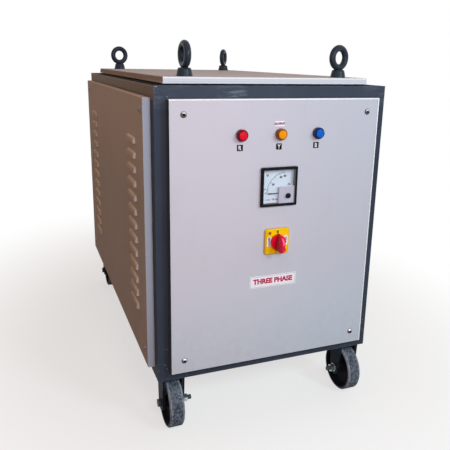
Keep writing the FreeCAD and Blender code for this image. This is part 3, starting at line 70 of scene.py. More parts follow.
camera_data = bpy.data.cameras.new("camera")
camera_data.lens = CAMERA_LENS
camera_data.shift_x, camera_data.shift_y = CAMERA_SHIFT
camera = bpy.data.objects.new("camera", camera_data)
bpy.context.scene.collection.objects.link(camera)
camera_turn = Matrix.Rotation(-CAMERA_YAW, 4, "Z") @ Matrix.Rotation(math.pi / 2 + CAMERA_PITCH, 4, "X")
camera_turn = camera_turn @ Matrix.Rotation(CAMERA_ROLL, 4, "Z")
camera.matrix_world = Matrix.Translation(CAMERA_PLACE) @ camera_turn
bpy.context.scene.camera = camera
print("camera lens", CAMERA_LENS, "mm at", tuple(CAMERA_PLACE))

# %% [markdown]
# ## Writing shader maths as Python
# A finish is a web of small nodes, and three classes turn them into plain expressions. `Channel`
# wraps one socket and overloads the arithmetic operators; its bearing is the angle of a point in
# radians. `Web` holds a tree of nodes and adds any node by its type. `Finish` is the web of a
# material, with the patterns that most finishes share.

# %% Channel: a socket that does sums
def operator(operation, swapped=False):
    """A method that adds one Math node, on a channel and another channel or number."""
    def method(channel, other=0.0):
        first, second = (other, channel) if swapped else (channel, other)
        return channel.web.add("Math", {0: first, 1: second}, operation=operation)["Value"]
    return method


class Channel:
    """One output socket of a web of nodes, on which Python's operators add Math nodes."""

    __add__ = __radd__ = operator("ADD")
    __sub__ = operator("SUBTRACT")
    __rsub__ = operator("SUBTRACT", swapped=True)
    __mul__ = __rmul__ = operator("MULTIPLY")
    __pow__ = operator("POWER")
    __abs__ = operator("ABSOLUTE")
    sine = operator("SINE")
    bearing = operator("ARCTAN2")

    def __init__(self, web, socket):
        self.web = web
        self.socket = socket

    def span(self, across):
        """The distance to a point that lies this far up and that far across."""
        return (across * across + self * self) ** 0.5

    def step(self, low, high):
        """A smooth step from 0 at low to 1 at high, which may be the lower number."""
        sockets = {"Value": self, "From Min": min(low, high), "From Max": max(low, high)}
        rise = self.web.add("MapRange", sockets, interpolation_type="SMOOTHSTEP")["Result"]
        return rise if low < high else 1 - rise

    def between(self, first, second, third, fourth):
        """1 from the second to the third of four rising numbers, and 0 outside the outer two."""
        return self.step(first, second) * self.step(fourth, third)


# %% Colours, and a web of nodes
def colour(code):
    """A linear colour from a six-digit screen colour such as '8a9099'."""
    shares = [int(code[i:i + 2], 16) / 255 for i in (0, 2, 4)]
    return [s / 12.92 if s <= 0.04045 else ((s + 0.055) / 1.055) ** 2.4 for s in shares] + [1.0]


class Web:
    """A tree of shader nodes, of a material or of the world."""

    def __init__(self, owner):
        owner.use_nodes = True
        self.tree = owner.node_tree

    def add(self, kind, sockets=(), **settings):
        """Adds a node: its settings first, then the values or links of its sockets."""
        node = self.tree.nodes.new("ShaderNode" + kind)
        for name, value in settings.items():
            setattr(node, name, value)
        for name, value in dict(sockets).items():
            self.feed(self.find(node.inputs, name), value)
        return {socket.name: Channel(self, socket) for socket in node.outputs if socket.enabled}

    def find(self, sockets, name):
        """A socket by its number, or the one in use with that name."""
        if isinstance(name, int):
            return sockets[name]
        return next(socket for socket in sockets if socket.enabled and socket.name == name)

    def feed(self, socket, value):
        """Links a channel to a socket, or sets the socket's own number, vector or colour code."""
        if isinstance(value, Channel):
            self.tree.links.new(value.socket, socket)
        else:
            socket.default_value = colour(value) if isinstance(value, str) else value

    def mix(self, factor, first, second):
        """A colour between two colours."""
        sockets = {"Factor": factor, "A": first, "B": second}
        return self.add("Mix", sockets, data_type="RGBA", clamp_factor=True)["Result"]

    def seen_directly(self):
        """1 for a ray that shows a surface to the eye, also in a mirror or through glass, else 0."""
        rays = self.add("LightPath")
        return rays["Is Camera Ray"] + rays["Is Glossy Ray"] + rays["Is Transmission Ray"]


# %% [markdown]
# A finish grows as real paint does: `base` gives two mottled tones, each `lay` puts a colour over what
# is there, as thickly as a channel from 0 to 1 says, and `close` sets the sheen and the bump.

# %% Finish: a material under construction
class Finish(Web):
    """A material, its Principled shader and the patterns that vary it."""

    def __init__(self, name):
        self.material = bpy.data.materials.new(name)
        super().__init__(self.material)
        self.shader = self.tree.nodes["Principled BSDF"]
        spot = self.add("TexCoord")
        self.place = spot["Object"]
        self.facing = spot["Normal"]

    def base(self, factor, first, second):
        self.tone = self.mix(factor, first, second)

    def mottled(self, first, second, *scale):
        self.base(self.noise(*scale), first, second)

    def lay(self, amount, over):
        self.tone = self.mix(amount, self.tone, over)

    def set(self, **values):
        """Sets the Principled shader's sockets, with underscores for the spaces in their names."""
        for name, value in values.items():
            self.feed(self.find(self.shader.inputs, name.replace("_", " ")), value)
        return self

    def close(self, roughness, height, depth, strength, gloss=0.5, **more):
        """Ends the finish with its colour so far, its roughness, a bump and a gloss."""
        normal = self.add("Bump", {"Height": height, "Distance": depth, "Strength": strength})["Normal"]
        more.update(Base_Color=self.tone, Roughness=roughness, Specular_IOR_Level=gloss, Normal=normal)
        return self.set(**more)

    def axes(self, vector=None):
        """A vector as three channels: by itself, the place on the object."""
        parts = self.add("SeparateXYZ", {"Vector": vector or self.place})
        return parts["X"], parts["Y"], parts["Z"]

    def stretched(self, x=1.0, y=1.0, z=1.0):
        """The place on the object, scaled along each axis."""
        return self.add("Mapping", {"Vector": self.place, "Scale": (x, y, z)})["Vector"]

    def noise(self, scale, detail=3.0, roughness=0.55, at=None):
        sockets = {"Vector": at or self.place, "Scale": scale, "Detail": detail, "Roughness": roughness}
        return self.add("TexNoise", sockets)["Fac"]

    def cells(self, scale, at=None):
        """Distance to the nearest of many scattered points, in cells."""
        return self.add("TexVoronoi", {"Vector": at or self.place, "Scale": scale})["Distance"]

    def flecks(self, size, low, high, spread, few, many):
        """Small round spots, in the patches where a coarser noise is high."""
        return self.cells(size).step(low, high) * self.noise(spread, 3).step(few, many)

    def edge(self, radius):
        """1 where the surface turns a corner, and 0 on its flats."""
        normals = {0: self.add("Bevel", {"Radius": radius}, samples=4)["Normal"],
                   1: self.add("NewGeometry")["Normal"]}
        return self.add("VectorMath", normals, operation="DOT_PRODUCT")["Value"].step(0.995, 0.8)

    def crevice(self, reach):
        """1 deep in a corner or a gap, and 0 on open surface."""
        return 1 - self.add("AmbientOcclusion", {"Distance": reach}, samples=6, only_local=False)["AO"]

    def box(self, low, high, soft):
        """1 inside a box of the object's space, with a soft rim."""
        inside = 1.0
        for axis, start, end in zip(self.axes(), low, high):
            inside = inside * axis.between(start - soft, start + soft, end - soft, end + soft)
        return inside


print("shader helpers ready")

# %% [markdown]
# ## Floor, light and background
# Near the wheels the pale floor is a real surface, so it holds the shadow. Further out it fades into
# the white background, which only rays to the eye see, so that no extra light reaches the cabinet.
# The same switch lets the floor throw back a warmer and dimmer light than it shows.

# %% Floor
FLOOR_SIZE = 40.0
FLOOR_FADE = (0.45, 1.25)
FLOOR_NEAR_GLOW = 0.62
FLOOR_DEPTH_SHARE = 0.7
WHITE = (1.0, 1.0, 1.0, 1.0)

ground = Finish("floor_paint")
floor_x, floor_y, _ = ground.axes()
far = (floor_y * FLOOR_DEPTH_SHARE).span(floor_x).step(*FLOOR_FADE)
fade = FLOOR_NEAR_GLOW + far * (1 - FLOOR_NEAR_GLOW)
seen = ground.seen_directly()
pale = ground.mix(ground.noise(3.0), "f9f9fa", "fdfdfd")
ground.set(Base_Color=ground.mix(seen, "7d726c", pale), Roughness=0.9)
glow = ground.add("Emission", {"Color": WHITE, "Strength": 1.0})["Emission"]
paint = Channel(ground, ground.shader.outputs[0])
floor_shader = ground.add("MixShader", {0: fade * seen, 1: paint, 2: glow})["Shader"]
ground.feed(ground.tree.nodes["Material Output"].inputs["Surface"], floor_shader)

bpy.ops.object.select_all(action="DESELECT")
bpy.ops.mesh.primitive_plane_add(size=FLOOR_SIZE, location=(0, 0, 0))
floor = bpy.context.object
floor.name = "floor"
floor.data.materials.append(ground.material)
print("floor across:", FLOOR_SIZE, "m")

# %% [markdown]
# The sky is even in front, dimmer overhead, and dim and warm on the cabinet's left, as beside a
# wall of bare brick. A world has no surface, so its Generated vector is the direction looked in.

# %% World
SKY_LEFT = (0.305, 0.113, 0.02, 1.0)
SKY_OVERHEAD = (0.27, 0.16, 0.09, 1.0)
LEFTWARD = (0.15, -0.45)
OVERHEAD = (0.3, 0.8)

bpy.context.scene.world = bpy.data.worlds.new("studio")
sky = Web(bpy.context.scene.world)
direction = sky.add("SeparateXYZ", {0: sky.add("TexCoord")["Generated"]})
beside = sky.mix(direction["X"].step(*LEFTWARD), WHITE, SKY_LEFT)
around = sky.mix(direction["Z"].step(*OVERHEAD), beside, SKY_OVERHEAD)
light = sky.add("Background", {"Color": around, "Strength": 1.0})["Background"]
backdrop = sky.add("Background", {"Color": WHITE, "Strength": 1.0})["Background"]
whole = sky.add("MixShader", {0: sky.seen_directly(), 1: light, 2: backdrop})["Shader"]
sky.feed(sky.tree.nodes["World Output"].inputs["Surface"], whole)
print("world nodes:", len(sky.tree.nodes))

# %% [markdown]
# Two soft lamps: a cool key from the upper right, which throws the short shadows of the lamps and
# the meter down to the left, and a near, warmer fill that brightens the upper left of the front.

# %% Lamps
LAMPS = {
    "key_lamp": ((1.0, -2.4, 1.75), (0, -0.5, 0.55), 0.6, 22, (0.62, 0.9, 1.0)),
    "fill_lamp": ((-0.28, -1.75, 1.1), (-0.1, -0.5, 0.6), 0.35, 7.5, (1.0, 0.93, 0.96)),
}


def soft_lamp(name, place, target, size, power, tint):
    """A square area lamp that faces a target."""
    data = bpy.data.lights.new(name, "AREA")
    data.shape = "SQUARE"
    data.size = size
    data.energy = power
    data.color = tint
    lamp = bpy.data.objects.new(name, data)
    lamp.location = place
    lamp.rotation_euler = (Vector(target) - Vector(place)).to_track_quat("-Z", "Y").to_euler()
    bpy.context.scene.collection.objects.link(lamp)


for name, settings in LAMPS.items():
    soft_lamp(name, *settings)
bpy.context.scene.view_settings.view_transform = "Standard"
print("lamps:", len(LAMPS))

# %% [markdown]
# ## The panels' powder coat
# The panels carry a light grey powder coat with a touch of violet. It has the fine orange-peel bump
# of melted powder, holds dust and painted shade in its corners, and is splashed and rubbed towards
# the floor. Painted light makes the front a little pinker on its left, and cooler towards its foot.
# Painted highlights lie along the edges, the louvre hoods, the side panels' upper part and top edge,
# and the cover's top and front. Painted shade lies on the front panel's left return and on the side
# panels' front returns.

# %% Panel powder coat
PANEL_LOW, PANEL_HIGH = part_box("front_panel")
SIDE_LOW, SIDE_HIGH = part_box("right_side_panel")
COVER_LOW, COVER_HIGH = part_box("top_cover")
FILM = ("c6c9d5", "ced2dd")
SHADED_EDGE = "1d202c"


def panel_powder_coat():
    coat = Finish("panel_powder_coat")
    x, y, z = coat.axes()
    rightward, backward, upward = coat.axes(coat.facing)
    from_front = y - SIDE_LOW.y
    below_top = SIDE_HIGH.z - z
    above_cover = z - COVER_LOW.z
    coat.mottled(*FILM, 2.1, 3)
    # Painted light: the front's tone runs pinker on its left and cooler towards its foot.
    to_foot = z.step(0.48, 0.22)
    painted_light_left = coat.mix(to_foot, "d1cad6", "d0d3e0")
    painted_light_right = coat.mix(to_foot, "c4c5d2", "c8d3e1")
    on_front = (y - PANEL_LOW.y).step(0.003, 0.001)
    coat.lay(on_front * 0.8, coat.mix(x.step(-0.22, 0.22), painted_light_left, painted_light_right))
    smears = coat.noise(11, 6, 0.62, at=coat.stretched(z=0.35)).step(0.53, 0.75)
    coat.lay(smears * 0.1, "99949a")

    on_side = (abs(x) - SIDE_LOW.x).step(0.001, 0.003)
    # Painted highlights on the louvre hoods: their front-facing ends, and then their upward-facing tops.
    lit_hood_ends = backward.step(-0.25, -0.7) * from_front.step(0.015, 0.03)
    coat.lay(on_side * lit_hood_ends * 0.9, "f6f0f1")
    coat.lay(on_side * upward.step(0.45, 0.7) * below_top.step(0.02, 0.03) * 0.95, "fffdfa")
    # Painted light: the side sheets are paler over their upper part.
    lit_side_top = on_side * abs(rightward).step(0.9, 0.98) * z.step(0.5, 0.82)
    coat.lay(lit_side_top * 0.9, "dfe2ea")
    # Painted cool shade on the side panels' front returns.
    shaded_side_return = backward.step(-0.7, -0.95) * from_front.step(0.012, 0.004)
    coat.lay(on_side * shaded_side_return * 0.85, "b6c8e0")
    # Painted highlight along the side panels' upward-facing top edge.
    coat.lay(on_side * upward.step(0.5, 0.9) * below_top.step(0.006, 0.002) * 0.8, "efe4dc")

    # Painted warm light on the cover's top.
    coat.lay(upward.step(0.8, 0.95) * above_cover.step(0.002, 0.004) * 0.6, "dccfd0")
    # Painted light on the cover's front, with a white painted highlight along its top.
    lit_cover_front = backward.step(-0.8, -0.95) * above_cover.step(-0.001, 0.0)
    coat.lay(lit_cover_front * 0.7, "dce0ec")
    coat.lay(lit_cover_front * (z - COVER_HIGH.z).step(-0.0042, -0.003) * 0.85, "ffffff")
    # Painted shade on the front panel's left return.
    shaded_left_return = rightward.step(-0.5, -0.9) * (y - PANEL_HIGH.y).step(0.004, 0.0)
    coat.lay(shaded_left_return * 0.85, SHADED_EDGE)

    coat.lay(z.step(0.42, 0.17) * coat.noise(70, 5) * 0.22, "8e8a86")
    specks = coat.cells(150).step(0.09, 0.04) * coat.noise(9, 2).step(0.58, 0.68)
    coat.lay(specks * 0.5, "6a686e")
    # Painted highlight along every edge.
    coat.lay(coat.edge(0.0022) * 0.75, "fbfaff")
    # Dust and painted shade in corners and gaps.
    coat.lay(coat.crevice(0.004) * 0.55, "4a484f")
    peel = coat.noise(480, 2) + smears * 0.2
    return coat.close(0.74 + smears * 0.1, peel, 0.0003, 0.4, gloss=0.04)


# %% [markdown]
# ## The enamel of the frame
# The frame is brush-painted over welded tube. Its corners are rubbed paler, flakes have come off at
# the mitres and at the foot, and a faint line shows where each weld was ground flush. The rails'
# tops, under the cover's edge, carry a near-black painted shadow. The left rail's outer flank carries
# brown painted warm light, with a painted highlight along its top arris. The rails above the posts
# are painted a little lighter, and painted shade fills the corners. Distances from the frame's
# corners place all of these.

# %% Frame enamel
FRAME_LOW, FRAME_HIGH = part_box("frame_posts")
RAIL_LOW, RAIL_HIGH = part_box("top_cross_rails")
TUBE = RAIL_HIGH.z - RAIL_LOW.z
WARM_LIGHT_DEPTH = 0.032
SCUFF = ((-0.15, -0.54, RAIL_HIGH.z - 0.034), (-0.085, -0.5, RAIL_HIGH.z - 0.006), 0.012)


def frame_enamel():
    coat = Finish("frame_enamel")
    x, y, z = coat.axes()
    upward = coat.axes(coat.facing)[2]
    from_side = RAIL_HIGH.x - abs(x)
    from_front = y - RAIL_LOW.y
    from_top = RAIL_HIGH.z - z
    from_foot = abs(z - FRAME_LOW.z)
    over_posts = z - FRAME_HIGH.z

    coat.mottled("303642", "424958", 7, 4, 0.6)
    strokes = coat.noise(40, 4, 0.6, at=coat.stretched(x=0.6, y=0.6, z=0.12))
    coat.lay(strokes.step(0.5, 0.8) * 0.45, "434f64")
    # Painted light: the rails above the posts are a little paler.
    coat.lay(over_posts.step(-0.002, 0.0) * 0.22, "535c6c")
    on_flank = (x + RAIL_HIGH.x).step(0.002, 0.0005)
    front_arris = on_flank * from_front.step(0.006, 0.003)
    joined = abs(over_posts).step(0.005, 0.003)
    rubbed = coat.edge(0.0035) * coat.noise(45, 4).step(0.35, 0.6) * (1 - joined)
    coat.lay(rubbed * (1 - front_arris) * 0.55, "76808f")

    near_mitre = (from_side + from_top * 1.6).step(0.1, 0.03)
    near_foot = from_foot.step(0.06, 0.01)
    scuffed = coat.box(*SCUFF)
    hard_use = near_mitre * 0.8 + near_foot * 0.6 + scuffed * 0.2
    flakes = coat.cells(150, at=coat.stretched(x=0.7)).step(0.21, 0.13)
    flakes = flakes * coat.noise(33, 3).step(0.51, 0.57) * hard_use
    coat.lay(flakes, "c3c7cd")
    scratches = coat.noise(60, 5, 0.7, at=coat.stretched(x=0.3, z=2.0)).step(0.42, 0.66)
    coat.lay(scratches * (scuffed + near_mitre * 0.3) * 0.5, "98a0ab")

    in_corner = from_top.step(TUBE + 0.001, TUBE - 0.001) * from_front.step(0.002, 0.0005)
    weld = abs(from_side - from_top).step(0.0018, 0.0006) * in_corner + from_foot.step(0.0016, 0.0006)
    coat.lay(weld * 0.25, "12161f")
    # Painted warm light, brown, on the left rail's outer flank.
    warm_lit_flank = on_flank * from_top.step(WARM_LIGHT_DEPTH + 0.003, WARM_LIGHT_DEPTH) * (1 - front_arris)
    coat.lay(warm_lit_flank * (0.4 + strokes * 0.3), "92703f")
    # Painted highlight along the flank's top arris.
    coat.lay(warm_lit_flank * from_top.step(0.004, 0.002) * 0.5, "c0a48c")
    # Painted shadow, near black, on the rails' tops under the cover's edge.
    shaded_rail_tops = upward.step(0.6, 0.95) * from_top.step(0.003, 0.001)
    coat.lay(shaded_rail_tops * 0.93, "090706")
    # Painted shade in corners and gaps.
    coat.lay(coat.crevice(0.006) * 0.5, "0d0f14")
    relief = strokes - flakes * 1.5 - weld * 1.2
    return coat.close(0.55 + flakes * 0.3 + shaded_rail_tops * 0.4, relief, 0.0005, 0.35, gloss=0.05)


# %% [markdown]
# The forks and the lifting eyes have the same enamel, laid on thicker and glossier over rough
# forgings, so their bump is coarser and the flakes fall anywhere.

# %% Forging enamel
def forging_enamel(name, dark, pale, roughness, wear, gloss=0.16):
    coat = Finish(name)
    coat.mottled(dark, pale, 24, 4, 0.6)
    rubbed = coat.edge(0.0025) * coat.noise(70, 4).step(0.4, 0.62)
    coat.lay(rubbed * wear, "8a93a0")
    flakes = coat.flecks(260, 0.24, 0.12, 38, 0.58, 0.64)
    coat.lay(flakes * wear, "a9adb3")
    # Painted shade, near black, in corners and gaps.
    coat.lay(coat.crevice(0.006) * 0.6, "07090d")
    return coat.close(roughness + flakes * 0.25, coat.noise(120, 4, 0.6) - flakes, 0.0008, 0.5, gloss)


# %% [markdown]
# ## The cast wheels
# The wheels were painted dark and have rolled bare. The tread is mottled grey, the arrises are the
# palest, and the dished sides keep their paint. The distance from the axle tells tread from side.

# %% Worn wheel
def middle_of(node):
    """The middle of a node's box."""
    low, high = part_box(node)
    return (low + high) / 2


WHEEL_CENTRE = middle_of("rear_left_wheel")
WHEEL_RADIUS = WHEEL_CENTRE.z


def worn_wheel():
    coat = Finish("worn_cast_wheel")
    _, y, z = coat.axes()
    from_axle = (z - WHEEL_CENTRE.z).span(abs(y) - WHEEL_CENTRE.y)
    tread = (from_axle - WHEEL_RADIUS).step(-0.007, -0.003)
    mottle = coat.noise(150, 7, 0.75)
    painted = coat.mix(coat.noise(30, 4), "0d1017", "191e27")
    coat.base(mottle.step(0.36, 0.64), "262d38", "717c8b")
    grit = coat.flecks(260, 0.34, 0.18, 60, 0.4, 0.52)
    coat.lay(grit * 0.75, "b3bbc5")
    pits = coat.flecks(240, 0.3, 0.16, 50, 0.5, 0.6)
    coat.lay(pits * 0.7, "12151b")
    coat.lay(1 - tread, painted)
    arris = coat.edge(0.009) * coat.noise(85, 5, 0.65).step(0.34, 0.48) * tread
    coat.lay(arris * 0.95, "d6dfea")
    return coat.close(0.6 + mottle * 0.2, mottle - pits * 0.6, 0.0009, 0.5, gloss=0.08)


# %% [markdown]
# ## Metals
# Bare and plated metals share one recipe: two tones of the metal, mottled or brushed along one axis,
# with tarnish in the crevices and bright arrises. Only the numbers differ from screw to shaft.

# %% Metal recipe
def metal(name, dark, bright, roughness, scale=140, brushed=(1, 1, 1), tarnish="17171a", depth=0.0002):
    coat = Finish(name)
    grain = coat.noise(scale, 5, 0.65, at=coat.stretched(*brushed))
    coat.base(grain.step(0.3, 0.7), dark, bright)
    coat.lay(coat.edge(0.0008) * 0.5, "f0f0f0")
    dirt = coat.crevice(0.0035) * coat.noise(scale * 2, 3).step(0.2, 0.5)
    coat.lay(dirt * 0.85, tarnish)
    return coat.close(roughness + grain * 0.15 + dirt * 0.3, grain, depth, 0.4, Metallic=1 - dirt * 0.8)


# %% [markdown]
# A screw head is a small dome that mirrors the room. In soft light the room is white all round, so
# the finish itself carries painted shade about the rim and in the recess, and a painted highlight on
# the crown.

# %% Screw plating
FRONT_SCREW_X = FRAME_HIGH.x - TUBE - 0.012
FRONT_SCREW_LOW = FRAME_LOW.z + 0.01
FRONT_SCREW_HIGH = FRAME_HIGH.z - 0.012
SIDE_SCREWS = (0.3, 0.302)


def screw_plating():
    coat = Finish("screw_nickel_plate")
    grain = coat.noise(700, 4, 0.6)
    x, _, z = coat.axes()
    rightward, _, upward = coat.axes(coat.facing)
    # Painted highlight on the upper face of each dome, much weaker on the side screws.
    crown = (upward + rightward * 0.3).step(0.06, 0.42) * (1 - abs(x).step(*SIDE_SCREWS) * 0.85)
    coat.base(grain, "4a4347", "7a7073")
    coat.lay(crown * 0.9, "ddd3d6")
    up = abs(z - (FRONT_SCREW_LOW + FRONT_SCREW_HIGH) / 2) - (FRONT_SCREW_HIGH - FRONT_SCREW_LOW) / 2
    from_middle = up.span(abs(x) - FRONT_SCREW_X)
    # Painted shade, near black, in the recess and the crevices.
    recess = from_middle.step(0.0034, 0.0024)
    hollow_shade = recess + coat.crevice(0.0035).step(0.1, 0.4) * (1 - recess)
    coat.lay(hollow_shade * 0.97, "0b0a0b")
    # A dark ring of painted shade about each front screw's rim.
    coat.lay(from_middle.between(0.0058, 0.0068, 0.01, 0.012) * 0.75, "2b272a")
    roughness = 0.3 + grain * 0.16 + hollow_shade * 0.4
    return coat.close(roughness, grain, 0.0001, 0.3, gloss=0.15, Metallic=0.75 - hollow_shade * 0.75)


# %% [markdown]
# ## Plastics
# Mouldings share a recipe too: a slightly uneven tint, a grain that is fine on a satin part and
# absent on a glossy one, and a tone where two pieces meet: dust on the dark mouldings, and painted
# shade on the pale ones.

# %% Plastic recipe
def plastic(name, dark, pale, roughness, grain=600, depth=0.0001, gloss=0.3, dust_and_shade="8a8781", dust_and_shade_amount=0.35):
    coat = Finish(name)
    coat.mottled(dark, pale, 60, 3)
    # Dust and painted shade where two pieces meet.
    coat.lay(coat.crevice(0.0025) * dust_and_shade_amount, dust_and_shade)
    return coat.close(roughness + coat.noise(220, 4) * 0.12, coat.noise(grain, 2), depth, 0.35, gloss)


# %% [markdown]
# The switch's knob is the one moulding that hands touch. The left of its grip carries painted shade,
# and a painted highlight lies along its right arris. Both lie at places measured from the knob's
# middle. Painted shade also fills its creases.

# %% Knob plastic
KNOB_LOW, KNOB_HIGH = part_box("switch_knob")
KNOB_CENTRE = middle_of("switch_knob")
SKIRT_DEPTH = 0.009


def knob_plastic():
    coat = Finish("knob_red")
    x, y, z = coat.axes()
    across = x - KNOB_CENTRE.x
    up = z - KNOB_CENTRE.z
    coat.mottled("dc0526", "f60c30", 60, 3)
    on_grip = (y - KNOB_HIGH.y + SKIRT_DEPTH).step(-0.0005, -0.002)
    # Painted shade on the left of the grip.
    grip_shade = across.step(0.0015, -0.001) * coat.noise(150, 3).step(0.2, 0.5)
    coat.lay(on_grip * grip_shade * 0.75, "860536")
    # Painted highlight along the grip's right arris.
    arris = across.between(0.0012, 0.003, 0.0058, 0.0072) * up.between(-0.004, 0.0, 0.0115, 0.0145)
    coat.lay(on_grip * arris * 0.75, "ff86ac")
    # Painted shade in the creases.
    coat.lay(coat.crevice(0.0025) * 0.8, "4a0212")
    return coat.close(0.12 + coat.noise(220, 4) * 0.12, coat.noise(200, 2), 0.00005, 0.35, gloss=0.2)


# %% [markdown]
# ## Lamps
# Each lamp's ring has the colour of its lens. The three rings are one node, so the place along X
# picks the colour, and painted shade lies in the rings' gaps and on their faces that turn to the
# left. A lens is clear tinted plastic over a pale well: faint ribs run round it, and its rim is
# darker, with a near-black ring of painted shade at its very edge.

# %% Lamp rings
LAMP_NAMES = ("red", "amber", "blue")
LAMP_PLACES = [middle_of(name + "_lamp_lens") for name in LAMP_NAMES]
LAMP_TINTS = (("84051c", "e30d2c"), ("a65a00", "f79d00"), ("042663", "0464d4"))


def lamp_rings():
    coat = Finish("lamp_ring_plastic")
    x, _, _ = coat.axes()
    rightward, _, _ = coat.axes(coat.facing)
    coat.tone = LAMP_TINTS[0][0]
    for before, after, tints in zip(LAMP_PLACES, LAMP_PLACES[1:], LAMP_TINTS[1:]):
        coat.lay((x - (before.x + after.x) / 2).step(-0.001, 0.001), tints[0])
    # Painted shade in the gaps, and on the faces that turn to the left.
    coat.lay(coat.crevice(0.002) * 0.7, "120a0c")
    coat.lay(rightward.step(-0.3, -0.9) * 0.5, "4a3c48")
    scuffs = coat.noise(300, 4)
    return coat.close(0.32 + scuffs * 0.15, scuffs, 0.0001, 0.2, gloss=0.14)


# %% Lamp lenses
LENS_RIB_PITCH = 0.0011


def lamp_lens(name, place, tints):
    coat = Finish(name)
    deep, clear = tints
    x, _, z = coat.axes()
    radius = (z - place.z).span(x - place.x)
    ribs = (radius * (2 * math.pi / LENS_RIB_PITCH)).sine()
    coat.base(coat.noise(240, 3) * 0.2 + ribs * 0.05, clear, deep)
    coat.lay(radius.step(0.0098, 0.0105) * 0.85, deep)
    # Painted shade: a near-black ring at the lens's very edge.
    coat.lay(radius.step(0.0101, 0.0106) * 0.7, "0a0506")
    return coat.close(0.3 + coat.noise(400, 3) * 0.1, ribs, 0.00012, 0.35, gloss=0.14)


# %% [markdown]
# ## The meter's glass and dial
# Real refraction would speckle the dial, so the glass is a nearly clear film: a low alpha with a
# sharp gloss, dusty at its edges. The dial is matt white enamel that reads slightly blue under it,
# with a painted shadow along its top and a dark band of painted shade down its right.

# %% Meter glass and dial
SHADE_BAND = (0.0368, 0.0376, 0.0404, 0.0412)
SHADE_BAND_FOOT = (0.634, 0.64)


def meter_glass():
    coat = Finish("meter_glass")
    haze = coat.noise(55, 5, 0.6)
    coat.base(haze, "e4eaf2", "f6f8fb")
    alpha = 0.02 + haze * 0.03 + coat.crevice(0.004) * 0.06
    return coat.close(0.05 + haze * 0.06, coat.noise(9, 2), 0.0004, 0.08, gloss=0.4, Alpha=alpha)


def dial_enamel():
    coat = Finish("dial_enamel")
    x, _, z = coat.axes()
    low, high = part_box("meter_dial")
    coat.mottled("ccdbec", "dae6f3", 38, 4)
    # Painted shadow along the dial's top, under the bezel.
    coat.lay((z - high.z).step(-0.014, -0.003) * 0.6, "8e97aa")
    # Painted shade: a dark band down the dial's right.
    coat.lay(x.between(*SHADE_BAND) * z.step(*SHADE_BAND_FOOT) * 0.55, "8088b0")
    coat.lay((z - low.z).step(0.0075, 0.005), "e6e4f6")
    return coat.close(0.55 + coat.noise(300, 3) * 0.15, coat.noise(500, 2), 0.00008, 0.3)


# %% [markdown]
# ## Labels
# One node holds five small plates. The three under the lamps are black, the caption strip above them
# and the wide plate lower down are white, so height chooses the tone.

# %% Label sheet
def label_sheet():
    coat = Finish("label_sheet")
    _, _, z = coat.axes()
    below_lamps = LAMP_PLACES[0].z - z
    rubbed = coat.noise(160, 5, 0.65).step(0.55, 0.72)
    black = below_lamps.between(0.0, 0.002, 0.058, 0.06)
    coat.mottled("efedf9", "fbf9ff", 90, 4)
    coat.lay(rubbed * 0.12, "a9a7b0")
    coat.lay(black, coat.mix(rubbed * 0.2, "06070b", "1c1d24"))
    return coat.close(0.5 + rubbed * 0.2, coat.noise(330, 3), 0.00012, 0.25, gloss=0.1)


# %% [markdown]
# ## Inside the case
# With the panels off, a buyer sees the coils. A winding is copper wire side by side round the ring,
# so its stripes follow the angle about the stack's axis. A core is wound strip, so its lines follow
# the radius. The base is galvanised sheet with its spangle of crystals, and the insulating boards
# are layered cloth in brown resin.

# %% Winding, core, base and boards
STACK_AXIS = middle_of("toroid_windings")
WINDING_TURNS = 260
CORE_LINES = 2600
CLOTH_THREADS = 1900


def from_stack_axis(coat):
    """How far a place lies across and behind the axis of the coil stack."""
    x, y, _ = coat.axes()
    return x - STACK_AXIS.x, y - STACK_AXIS.y


def copper_winding():
    coat = Finish("copper_winding")
    across, behind = from_stack_axis(coat)
    wire = abs((behind.bearing(across) * (WINDING_TURNS / 2)).sine())
    coat.mottled("7a3a18", "a5562a", 20, 4)
    coat.lay(wire.step(0.5, 0.1) * 0.7, "2a1208")
    return coat.close(0.32 + coat.noise(80, 3) * 0.2, wire, 0.0012, 0.6, Metallic=0.6)


def core_strip():
    coat = Finish("core_strip")
    across, behind = from_stack_axis(coat)
    lines = abs((behind.span(across) * CORE_LINES).sine())
    coat.mottled("3a3836", "55524e", 35, 4)
    coat.lay(lines.step(0.35, 0.05) * 0.6, "1b1a19")
    return coat.close(0.4 + coat.noise(90, 3) * 0.2, lines, 0.0003, 0.4, Metallic=0.7)


def galvanised_sheet():
    coat = Finish("galvanised_sheet")
    crystal = coat.cells(60)
    coat.base(crystal, "8f9599", "b9bec1")
    coat.lay(coat.noise(12, 4) * 0.4, "a3a29c")
    return coat.close(0.35 + crystal * 0.3, crystal, 0.0002, 0.3, Metallic=0.85)


def laminate_board():
    coat = Finish("laminate_board")
    x, y, z = coat.axes()
    weave = abs(((x + z) * CLOTH_THREADS).sine()) * abs(((y + z) * CLOTH_THREADS).sine())
    coat.base(weave * 0.6 + coat.noise(15, 4) * 0.4, "5a3318", "8d5c30")
    return coat.close(0.42 + weave * 0.15, weave, 0.0002, 0.35, gloss=0.4)


# %% [markdown]
# ## Handing the finishes out
# The record names one material slot for each node. Each slot gets one finish, and the three lenses
# get theirs with the place of their own lamp.

